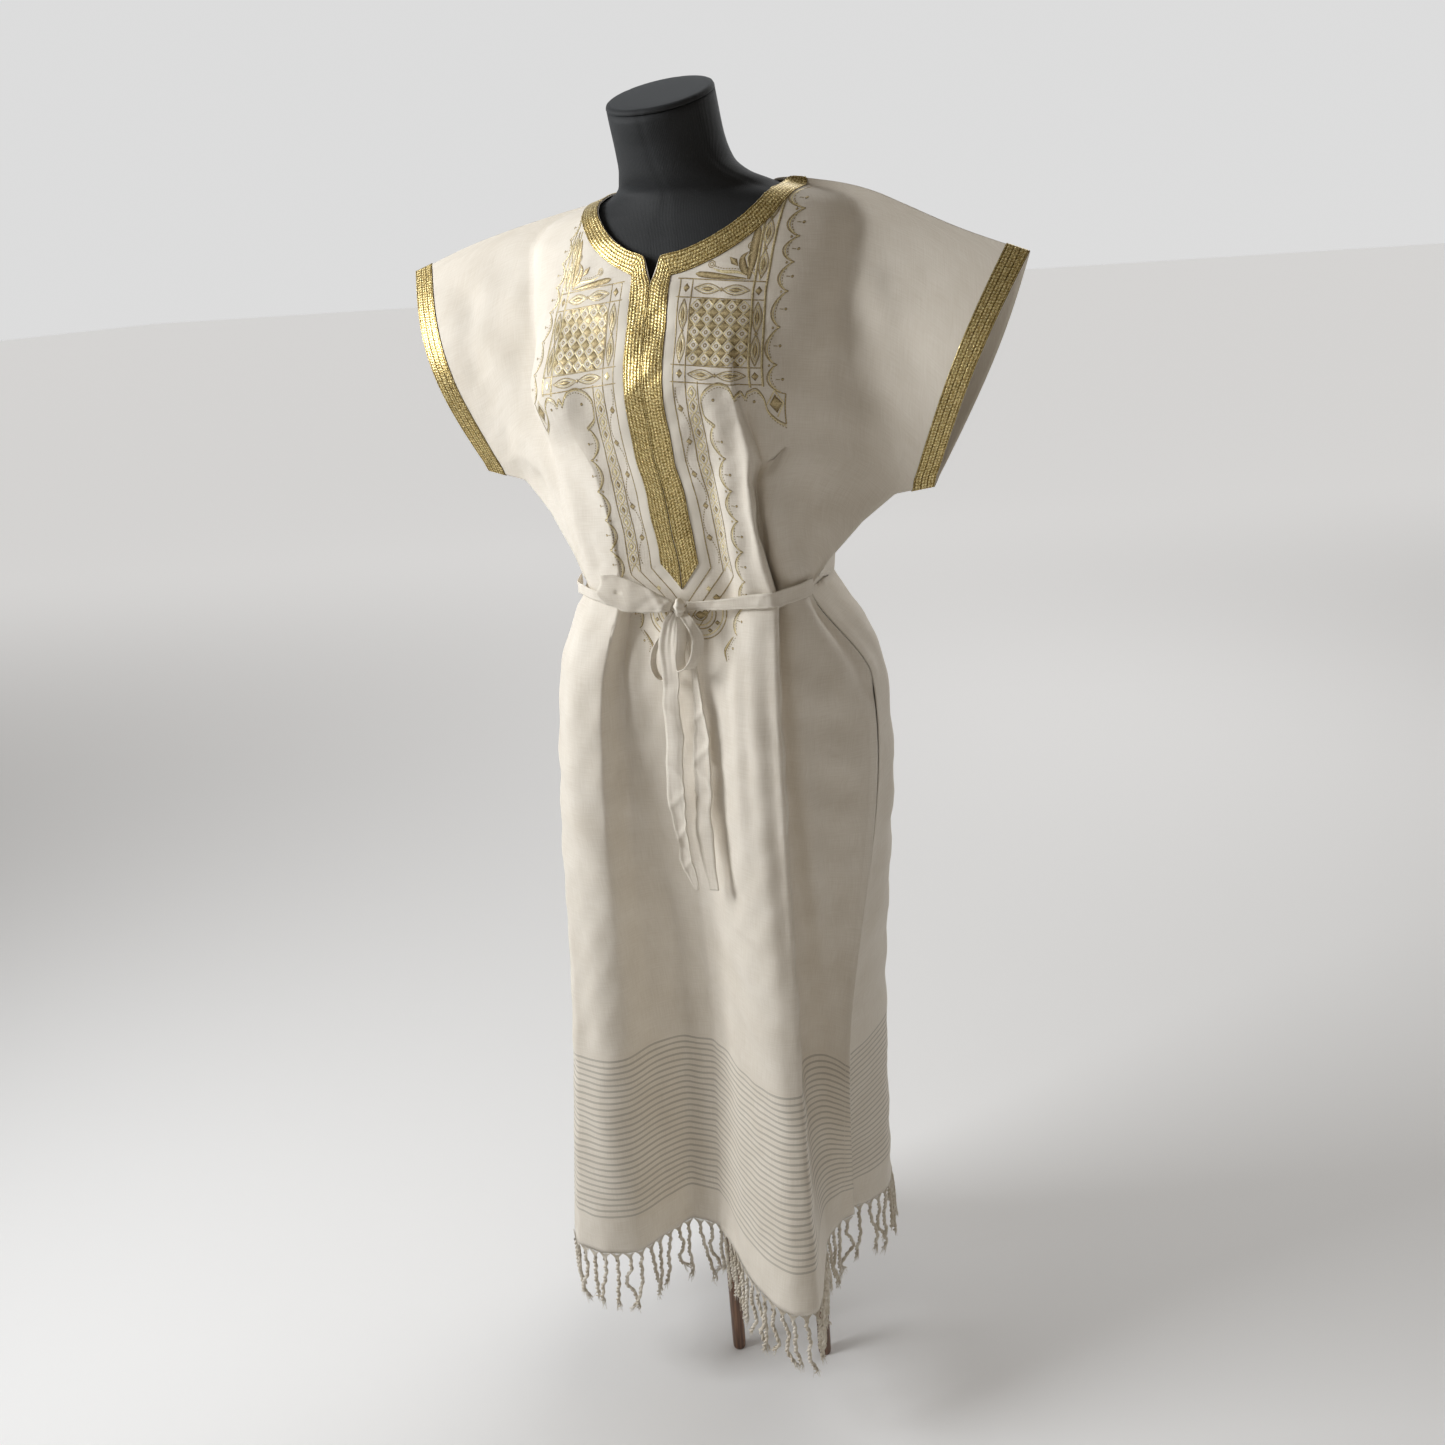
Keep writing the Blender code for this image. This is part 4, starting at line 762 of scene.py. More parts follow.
back_creases = (
    (-0.150, 1.430, -0.170, 1.200, 0.010, 0.0030, 0.0150),
    (0.150, 1.430, 0.165, 1.210, -0.010, 0.0030, 0.0150),
    (-0.090, 1.300, -0.060, 1.080, 0.010, -0.0044, 0.0120),
    (0.080, 1.320, 0.052, 1.080, -0.008, -0.0040, 0.0130),
    (-0.020, 1.260, -0.012, 1.080, 0.005, 0.0034, 0.0120),
    (0.020, 1.220, 0.024, 1.070, -0.004, -0.0030, 0.0090),
    (-0.130, 1.230, -0.100, 1.080, 0.006, 0.0034, 0.0110),
    (0.130, 1.240, 0.098, 1.080, -0.006, 0.0026, 0.0150),
    (-0.240, 1.400, -0.260, 1.240, 0.006, -0.0024, 0.0130),
    (0.240, 1.390, 0.245, 1.230, -0.006, -0.0022, 0.0130),
    (-0.060, 1.030, -0.080, 0.760, 0.006, -0.0044, 0.0120),
    (0.030, 1.020, 0.034, 0.700, 0.005, -0.0040, 0.0120),
    (0.110, 1.020, 0.130, 0.780, -0.005, -0.0036, 0.0130),
    (-0.130, 1.010, -0.160, 0.760, 0.004, 0.0030, 0.0140),
    (-0.010, 0.860, -0.020, 0.360, 0.006, 0.0034, 0.0200),
    (0.070, 0.820, 0.078, 0.300, -0.006, -0.0030, 0.0180),
    (-0.100, 0.780, -0.112, 0.300, 0.006, -0.0034, 0.0180),
    (0.120, 0.640, 0.128, 0.260, 0.004, 0.0028, 0.0160),
    (-0.170, 0.640, -0.190, 0.260, 0.004, 0.0028, 0.0160),
    (-0.190, 0.915, 0.170, 0.905, -0.004, 0.0010, 0.0040),
    (-0.210, 0.640, 0.150, 0.652, 0.004, -0.0010, 0.0045),
)
# The dress hangs in soft low waves between its folds: length, slant, phase, depth
waves = (
    (0.061, 0.35, 0.4, 0.00070),
    (0.037, -0.60, 2.1, 0.00045),
    (0.094, 1.30, 4.0, 0.00080),
    (0.023, -1.10, 1.2, 0.00022),
    (0.150, 2.20, 3.1, 0.00080),
)


def crease_depth(x, z, table):
    """Height of all creases at places seen from the front."""
    depth = np.zeros_like(x)
    for x0, z0, x1, z1, bow, deep, wide in table:
        start, run = np.array((x0, z0)), np.array((x1 - x0, z1 - z0))
        length = np.hypot(*run)
        run = run / length
        share = ((x - start[0]) * run[0] + (z - start[1]) * run[1]) / length
        inside = np.clip(share, 0, 1)
        off = (x - start[0]) * run[1] - (z - start[1]) * run[0] - bow * np.sin(np.pi * inside)
        beyond = (share - inside) * length
        fade = np.sin(np.pi * np.clip(0.06 + 0.88 * share, 0, 1)) ** 0.9
        depth += deep * fade * np.exp(-0.5 * (off / wide) ** 2 - 0.5 * (beyond / (wide + 0.012)) ** 2)
    for length, slant, phase, deep in waves:
        swell = np.sin(7.0 * z + 9.0 * x + phase)
        depth += deep * np.sin(2 * np.pi * (x + slant * z) / length + phase) * swell
    return depth


def cotton_material():
    """Cream cotton: a plain weave with uneven yarns, faint slubs, and grey woven stripes.

    The cloth's own map is in metres, U across and V up from the hem.
    """
    made, tree, shader, _ = new_material(
        "cream_cotton", (0.76, 0.715, 0.625), 0.88,
        Sheen_Weight=0.12, Sheen_Roughness=0.6, Specular_IOR_Level=0.22,
    )
    cloth_map = add(tree, "ShaderNodeUVMap", uv_map="cloth").outputs["UV"]
    flat = add(tree, "ShaderNodeSeparateXYZ", Vector=cloth_map)
    u, v = flat.outputs["X"], flat.outputs["Y"]
    yarn = 0.0007
    weft, warp = (sums(tree, "SINE", sums(tree, "MULTIPLY", way, 2 * np.pi / yarn)) for way in (v, u))
    weave = sums(tree, "MULTIPLY", weft, warp)
    slubs = noise(tree, cloth_map, (40.0, 900.0, 1.0), 3.0)
    threads = noise(tree, cloth_map, (900.0, 40.0, 1.0), 3.0)
    uneven = sums(tree, "ADD", slubs, threads)
    cloud = noise(tree, cloth_map, 14.0, 4.0)
    shade = sums(tree, "ADD", sums(tree, "MULTIPLY", uneven, 0.32), sums(tree, "MULTIPLY", cloud, 0.36))
    tone = ramp(tree, shade, (0.38, (0.715, 0.655, 0.560)), (0.62, (0.820, 0.770, 0.685)))
    # Stripes: how far v is from the nearest one, inside the band only
    wobble = sums(tree, "MULTIPLY", sums(tree, "SUBTRACT", cloud, 0.5), 0.0016)
    level = sums(tree, "ADD", v, wobble)
    step = sums(tree, "DIVIDE", sums(tree, "SUBTRACT", level, stripe_low), stripe_pitch)
    off = sums(tree, "ABSOLUTE", sums(tree, "SUBTRACT", sums(tree, "FRACT", step), 0.5))
    on_line = sums(tree, "GREATER_THAN", off, 0.5 - 0.5 * stripe_wide / stripe_pitch)
    above = sums(tree, "GREATER_THAN", step, -0.5)
    below = sums(tree, "LESS_THAN", step, stripe_count - 0.5)
    striped = sums(tree, "MULTIPLY", sums(tree, "MULTIPLY", above, below), on_line)
    faded = sums(tree, "MULTIPLY", striped, sums(tree, "ADD", sums(tree, "MULTIPLY", slubs, 0.5), 0.48))
    feed(tree, shader.inputs["Base Color"], mixed(tree, faded, tone, (0.440, 0.405, 0.345, 1)))
    rough = bump(tree, uneven, 0.0003, 0.35)
    feed(tree, shader.inputs["Normal"], bump(tree, weave, 0.00012, 0.35, Normal=rough))
    return made


stripe_low, stripe_pitch, stripe_wide, stripe_count = 0.052, 0.0083, 0.0028, 27
cotton = cotton_material()
cloth_wall = 0.0012
sleeve_rows, upper_rows, lower_rows, panel_columns = 73, 118, 122, 180
# Pressed ridge and hollow beside a side seam. Their places and widths are shares of the panel
ridge_tall, ridge_at, ridge_wide, stand_off = 0.0046, 0.017, 0.012, 0.0020
hollow_deep, hollow_at, hollow_wide = 0.0034, 0.050, 0.016


def set_cloth_map(mesh, places):
    """Writes the cloth's map from an array of (u, v), one for each vertex."""
    layer = mesh.uv_layers.new(name="cloth")
    index = np.empty(len(mesh.loops), np.int32)
    mesh.loops.foreach_get("vertex_index", index)
    layer.data.foreach_set("uv", places[index].astype(np.float32).ravel())


def run_length(points):
    """How far along each place of a path is. It also takes a grid of places, down its columns."""
    steps = np.linalg.norm(np.diff(points, axis=0), axis=-1)
    return np.concatenate([np.zeros_like(steps[:1]), np.cumsum(steps, axis=0)])


def make_panel(side, creases, node):
    """One panel as a thin shell on its solid's form, with its creases."""
    sleeve = belt_down * cuff_share * np.linspace(0, 1, sleeve_rows + 1) ** 1.35
    waist = np.linspace(belt_down * cuff_share, belt_down, upper_rows - sleeve_rows)[1:]
    skirt = np.linspace(belt_down, 1, lower_rows + 1)[1:]
    down = np.concatenate([sleeve, waist, skirt])
    across = np.linspace(0, 1, panel_columns + 1)
    across = across - 0.25 * np.sin(2 * np.pi * across) / (2 * np.pi)
    grid_across, grid_down = np.meshgrid(across, down)
    points = panel_point(grid_across, grid_down, side)
    normal = grid_normal(points, side)
    near_seam = np.minimum(across, 1 - across)[None, :]
    calm = ease_in(near_seam / 0.05) * ease_in(down[:, None] / 0.05)
    raised = crease_depth(points[..., 0], points[..., 2], creases) * calm
    # Beside the side seams the cloth is pressed into a ridge, and along the slits the edge stands off
    from_edge, z = np.broadcast_arrays(near_seam, points[..., 2])
    below = ease_in((belt_z - 0.006 - z) / 0.02) * (1.0 if side == "front" else -0.2)
    loose = ease_in((slit_z - z) / 0.04)
    ridge = ridge_tall + (stand_off - ridge_tall) * loose
    ridge = ridge * np.exp(-(((from_edge - ridge_at * (1 - loose)) / ridge_wide) ** 2))
    hollow = hollow_deep * np.exp(-(((from_edge - hollow_at) / hollow_wide) ** 2)) * (1 - 0.7 * loose)
    raised = raised + below * (ridge - hollow)
    points = points + normal * (raised + 0.0004)[..., None] + axis
    made = finish_mesh(node + "_cloth", grid_mesh(points), cotton, outward=False)
    mesh = made.data
    run = run_length(points)
    wide = run_length(points.transpose(1, 0, 2)).T
    map_places = np.stack([wide - wide[:, panel_columns // 2:panel_columns // 2 + 1], run[-1:] - run], -1)
    co = np.empty(len(mesh.vertices) * 3, np.float32)
    mesh.vertices.foreach_get("co", co)
    index_of = {tuple(np.round(p, 6)): i for i, p in enumerate(points.reshape(-1, 3).astype(np.float32))}
    order = np.array([index_of[tuple(np.round(p, 6))] for p in co.reshape(-1, 3)])
    set_cloth_map(mesh, map_places.reshape(-1, 2)[order])
    wall = made.modifiers.new("wall", "SOLIDIFY")
    wall.thickness = cloth_wall
    wall.offset = 1.0 if (mesh.polygons[len(mesh.polygons) // 2].normal.y < 0) == (side == "front") else -1.0
    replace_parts(made, node)
    return made


front_cloth = make_panel("front", front_creases, "front_panel")
back_cloth = make_panel("back", back_creases, "back_panel")

# Gold braid at the neck, the front opening and the cuffs
# Bought braid of metallic thread: rows of chain worked side by side between two beaded edge
# cords. It is 22 mm wide round the neck and down the opening and 25 mm wide round the cuffs.
braid_wide, cuff_wide, braid_inset = 0.022, 0.025, 0.0001
placket_low_z, placket_slant = 1.066, 1.3
chain_wide, chain_tall, chain_pitch = 0.0036, 0.00075, 0.0034
cord_wide, cord_tall, bead_pitch = 0.0019, 0.00085, 0.0019
braid_step, held_off_by, braid_ground = 0.00095, 0.0045, 0.0005
# Places down the line round a cuff, from the shoulder's ridge to the sleeve's lower fold
cuff_shares = np.array((0, 0.012, 0.028, 0.05, 0.08, 0.125, 0.2, 0.32, 0.47, 0.63, 0.78, 0.9, 0.97, 1))


def on_panel(x, z, side):
    """The point of a panel above the belt that is seen from the front at x, z."""
    x, z = np.broadcast_arrays(np.asarray(x, float), np.asarray(z, float))
    across_at, down_at = np.linspace(0, 1, 121), np.linspace(0, belt_down, 81)
    grid = panel_point(across_at[None, :], down_at[:, None], side)
    flat = grid[..., [0, 2]].reshape(-1, 2)
    start = [np.argmin((flat[:, 0] - a) ** 2 + (flat[:, 1] - b) ** 2) for a, b in zip(x.ravel(), z.ravel())]
    down = down_at[np.array(start) // len(across_at)].reshape(x.shape)
    across = across_at[np.array(start) % len(across_at)].reshape(x.shape)
    seen = np.stack([x, z], -1)
    for _ in range(14):
        here = panel_point(across, down, side)
        gap = seen - here[..., [0, 2]]
        by_across = (panel_point(across + 1e-4, down, side) - panel_point(across - 1e-4, down, side)) / 2e-4
        by_down = (panel_point(across, down + 1e-4, side) - panel_point(across, down - 1e-4, side)) / 2e-4
        det = by_across[..., 0] * by_down[..., 2] - by_across[..., 2] * by_down[..., 0]
        det = np.where(np.abs(det) < 1e-9, 1e-9, det)
        move_a = (gap[..., 0] * by_down[..., 2] - gap[..., 1] * by_down[..., 0]) / det
        move_d = (by_across[..., 0] * gap[..., 1] - by_across[..., 2] * gap[..., 0]) / det
        across = np.clip(across + np.clip(move_a, -0.02, 0.02), 0, 1)
        down = np.clip(down + np.clip(move_d, -0.02, 0.02), 0, belt_down)
    return panel_point(across, down, side)


def lifted(points, distance, outside, closed=False):
    """Points moved off their surface to the side of the given point. Rows run along the band."""
    along = np.diff(points, axis=0, append=points[:1] if closed else points[-1:])
    if not closed:
        along[-1] = along[-2]
    normal = unit(np.cross(along, np.gradient(points, axis=1)))
    last = normal[-1:] if closed else normal[:1]
    former = np.concatenate([last, normal[:-1]])
    mitre = (normal + former) / (1.02 + np.sum(normal * former, axis=-1, keepdims=True)) * 1.01
    return points + mitre * distance * np.sign(((outside - points) * mitre).sum())


centre_down = np.linspace(0, belt_down, 200)
centre_line = panel_point(np.full(200, fold_shares(front_folds)[centre_fold]), centre_down, "front")
notch_low = neck_z - front_neck_drop - notch_deep


def centre_x(z):
    """x of the opening's middle line at a height."""
    return np.interp(-np.asarray(z, float), -centre_line[:, 2], centre_line[:, 0])


def placket_line(width, sign):
    """The braid beside the front's centre line, from its pointed lower end to the notch."""
    z = np.linspace(placket_low_z + placket_slant * width, notch_low - 0.4 * width, 16)
    return on_panel(centre_x(z) + sign * width, z, "front")


def neck_line(width, sign):
    """The braid from the notch's low end round one side of the neck to the nape."""
    half = neck_right if sign < 0 else neck_left
    corner_x = notch_x + sign * notch_half
    corner_z = float(neckline_z(np.array(corner_x), "front"))
    low = np.array((notch_x + sign * 0.25 * notch_half, notch_low))
    corner = np.array((corner_x, corner_z))
    outer_low = np.array((notch_x + sign * braid_wide, notch_low - 0.4 * braid_wide))
    outer_high = np.array((outer_low[0], corner_z - 0.95 * braid_wide))
    places = {"front": [], "back": []}
    for share in (0.35, 0.7, 1.0):
        inner = low + (corner - low) * share
        outer = outer_low + (outer_high - outer_low) * share
        places["front"].append(inner + (outer - inner) * width / braid_wide)
    first = np.arcsin(abs(corner_x) / half) + 0.20
    for side, bend, turns in (
        ("front", 1.2, np.linspace(first, np.pi / 2, 14)),
        ("back", 0.6, np.linspace(np.pi / 2 - 0.1, 0, 12)),
    ):
        for turn in turns:
            x = sign * half * np.sin(turn)
            slant = 0.2 + (np.pi / 2 - 0.2) * max(np.cos(turn), 0) ** bend
            x_out = x + sign * width * np.cos(slant)
            z_out = float(neckline_z(np.array(x), side)) - width * np.sin(slant)
            ridge = float(shoulder_z(np.array(x_out)))
            places[side].append((x_out, ridge if turn == np.pi / 2 else min(z_out, ridge)))
    lines = [on_panel(*np.array(places[side]).T, side) for side in ("front", "back")]
    lines[0][-1, 1] += seam_shift
    return np.concatenate(lines)


def cuff_line(width, edge):
    """x and z of the line round a sleeve at one distance from its opening, from top to bottom."""
    sign = np.sign(edge[0, 1])
    slope = np.gradient(shoulder_z(np.array((edge[0, 1] - 0.02 * sign, edge[0, 1]))), 0.02)[0]
    top_x = edge[0, 1] - sign * width / np.hypot(1, slope)
    top = np.array((top_x, float(shoulder_z(np.array(top_x)))))
    under = edge[2, 1:] - edge[1, 1:]
    low = edge[1, 1:] + under / np.linalg.norm(under) * width
    return top + (low - top) * cuff_shares[:, None]


def resampled(points, step, closed=False):
    """The rows of a band at an even step along it, and how far along each one is."""
    if closed:
        points = np.concatenate([points, points[:1]])
    run = np.linalg.norm(np.diff(points, axis=0), axis=-1).reshape(len(points) - 1, -1).mean(axis=1)
    run = np.concatenate([[0], np.cumsum(run)])
    at = np.linspace(0, run[-1], int(run[-1] / step) + 1)
    rows = through(run, points.reshape(len(points), -1), at).reshape(len(at), *points.shape[1:])
    return (rows[:-1], at[:-1]) if closed else (rows, at)


bpy.context.view_layer.update()
graph = bpy.context.evaluated_depsgraph_get()
cloth_trees = [BVHTree.FromObject(piece, graph) for piece in (front_cloth, back_cloth)]


def seated(points):
    """For points held off the cloth, the nearest places on it and the ways out from there."""
    places, ways = np.empty_like(points), np.empty_like(points)
    for index in np.ndindex(points.shape[:-1]):
        point = Vector(points[index])
        found = min((tree.find_nearest(point) for tree in cloth_trees), key=lambda hit: hit[3])
        places[index] = found[0]
        ways[index] = (point - found[0]) / max(found[3], 1e-9)
    return places, ways


def smoothed(rows, closed, passes=10):
    """Rows of places or directions, evened out along the band."""
    for _ in range(passes):
        former, later = np.roll(rows, 1, axis=0), np.roll(rows, -1, axis=0)
        if not closed:
            former[0], later[-1] = rows[0], rows[-1]
        rows = 0.25 * former + 0.5 * rows + 0.25 * later
    return rows


def braid_profile(across, along, wide):
    """Height of a braid over its ground, and how high that is in its own row, from 0 to 1."""
    rows = round((wide - 2 * cord_wide) / chain_wide)
    place = (across - cord_wide) / (wide - 2 * cord_wide) * rows
    off = 2 * (place - np.floor(place)) - 1
    facing = np.where(np.floor(place) % 2 == 0, 1.0, -1.0)
    link_turn = 2 * np.pi * (along / chain_pitch + facing * 0.45 * np.abs(off) + 0.31 * np.floor(place))
    crown = np.sqrt(np.clip(1 - off**2, 0, 1)) * (0.76 + 0.24 * np.cos(link_turn))
    from_edge = np.minimum(across, wide - across)
    bead = np.sqrt(np.clip(1 - ((from_edge - cord_wide / 2) / (cord_wide / 2)) ** 2, 0, 1))
    bead_crown = bead * (0.72 + 0.28 * np.cos(2 * np.pi * along / bead_pitch))
    on_edge = from_edge < cord_wide
    return np.where(on_edge, cord_tall * bead_crown, chain_tall * crown), np.where(on_edge, bead_crown, crown)


def metal_thread(name, low, middle, high, metallic, roughness, cell):
    """Metallic thread: painted shade between its turns, a painted highlight on top, and small glints."""
    made, tree, shader, place = new_material(name, middle, roughness, Metallic=metallic)
    crown = add(tree, "ShaderNodeAttribute", attribute_name="crown").outputs["Fac"]
    facets = add(tree, "ShaderNodeTexVoronoi", Vector=place, Scale=1 / cell)
    glint = add(tree, "ShaderNodeSeparateColor", Color=facets.outputs["Color"])
    # Painted glints: each small facet is painted a little lighter or darker than the next
    spread = sums(tree, "MULTIPLY", sums(tree, "SUBTRACT", glint.outputs[0], 0.5), 0.55)
    uneven = sums(tree, "MULTIPLY", sums(tree, "SUBTRACT", noise(tree, place, 420.0, 3.0), 0.5), 0.5)
    # The crown paints shade between the turns and a highlight on their tops
    tone = sums(tree, "ADD", crown, sums(tree, "ADD", spread, uneven))
    feed(tree, shader.inputs["Base Color"], ramp(tree, tone, (0.12, low), (0.55, middle), (1.0, high)))
    # Each facet is also rougher or smoother and tilted, which gives real glints under the lamps
    gloss = sums(tree, "ADD", roughness - 0.12, sums(tree, "MULTIPLY", glint.outputs[1], 0.24))
    feed(tree, shader.inputs["Roughness"], gloss)
    feed(tree, shader.inputs["Normal"], bump(tree, glint.outputs[2], cell * 0.55, 0.8))
    return made


# The braid's colours run from painted shade between the chains to a painted highlight on their crowns
braid_gold = metal_thread(
    "braid_gold", (0.060, 0.036, 0.008), (0.400, 0.280, 0.088), (0.960, 0.830, 0.450), 0.80, 0.36, 0.0007
)


def make_braid(name, rows, wide, outside, closed=False):
    """A braid along a band of points on the cloth's inner face, as one closed body."""
    shares = np.linspace(0, 1, rows.shape[1])
    band, along = resampled(lifted(rows, held_off_by, outside, closed), braid_step, closed)
    inner = np.linspace(braid_step, wide - braid_step, 24)
    across = np.concatenate([[0, 0.0004], inner, [wide - 0.0004, wide]])
    band = through(shares, band.transpose(1, 0, 2).reshape(len(shares), -1), across / wide)
    places, ways = seated(band.reshape(len(across), len(along), 3).transpose(1, 0, 2))
    places, ways = smoothed(places, closed), unit(smoothed(ways, closed))
    # crown: each place's share of its row's height, which sets the braid's painted shade and highlight
    height, crown = braid_profile(across[None, :], along[:, None], wide)
    top = places + ways * (braid_ground + height)[..., None]
    under = places[:, ::-3] + ways[:, ::-3] * 0.00012
    loop = np.concatenate([top, under], axis=1)
    if closed:
        loop = np.concatenate([loop, loop[:1]])
        crown = np.concatenate([crown, crown[:1]])
    # The underside has no crown, so it is painted in full shade
    crown = np.concatenate([crown, np.zeros((len(loop), under.shape[1]))], axis=1)
    bm = grid_mesh(loop, closed=True)
    layer = bm.verts.layers.float.new("crown")
    corners = loop.reshape(-1, 3).astype(np.float32)
    crown_at = {tuple(np.round(corner, 6)): value for corner, value in zip(corners, crown.ravel())}
    for vert in bm.verts:
        vert[layer] = crown_at.get(tuple(np.round(np.array(vert.co, np.float32), 6)), 0.3)
    if closed:
        bmesh.ops.remove_doubles(bm, verts=bm.verts, dist=0.000001)
    else:
        close_ends(bm)
    return finish_mesh(name, bm, braid_gold)


neck_rows = []
for width in np.linspace(braid_inset, braid_wide, 5):
    right, left = (np.concatenate([placket_line(width, sign), neck_line(width, sign)]) for sign in (-1, 1))
    neck_rows.append(np.concatenate([right, left[-2::-1]]))
neck_rows = np.array(neck_rows).transpose(1, 0, 2) + axis
neck_trim = make_braid("neck_trim", neck_rows, braid_wide, neck_rows * 2 - (axis + (0, 0.02, 1.36)))
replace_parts(neck_trim, "neck_braid")

for side_name, edge_table in (("right", right_edge), ("left", left_edge)):
    loops = []
    for width in np.linspace(braid_inset, cuff_wide, 5):
        seen = cuff_line(width, edge_table)
        front = on_panel(seen[:, 0], seen[:, 1], "front")
        back = on_panel(seen[-2:0:-1, 0], seen[-2:0:-1, 1], "back")
        front[[0, -1], 1] += seam_shift
        loops.append(np.concatenate([front, back]))
    loops = np.array(loops).transpose(1, 0, 2) + axis
    outside = 2 * loops - loops.mean(axis=0, keepdims=True)
    cuff_trim = make_braid("cuff_trim_" + side_name, loops, cuff_wide, outside, closed=True)
    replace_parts(cuff_trim, "cuff_braid_" + side_name)

# Embroidery on the chest and beside the opening
# Machine satin stitch in pale gold and brown thread over the cotton: two framed squares with a
# lattice of diamonds, bands of almonds, a vine beside the opening and a scalloped outer edge.
# The chart gives places as (out, z): the distance from the opening's middle line and the height.
thread_step, thread_lift, thread_spread = 0.0016, 0.00012, 0.0003
fine, line = 0.0006, 0.0009


def chart_place(out, z, sign):
    """x of a place in the chart. Above the squares the sides drift with the shoulders' slope."""
    share, start = (0.13, 1.370) if sign > 0 else (-0.25, 1.360)
    return centre_x(z) + sign * (out + share * np.maximum(0, z - start) * (out / 0.118) ** 2)


def on_front(x, z):
    """The front cloth's place and way out, straight behind a place seen from the front."""
    found = cloth_trees[0].ray_cast(Vector((x + axis[0], -1.0, z)), Vector((0.0, 1.0, 0.0)))
    return (np.array(found[0]), np.array(found[1])) if found[0] else (None, None)


def places_at(at, run, points):
    """Places on a path, by how far along it they are."""
    return np.stack([np.interp(at, run, column) for column in points.T], -1)


def curved(points):
    """A smooth path through a few places."""
    points = np.array(points, float)
    run = run_length(points)
    at = np.linspace(0, run[-1], max(8, int(run[-1] / thread_step)))
    return through(run, points, at)


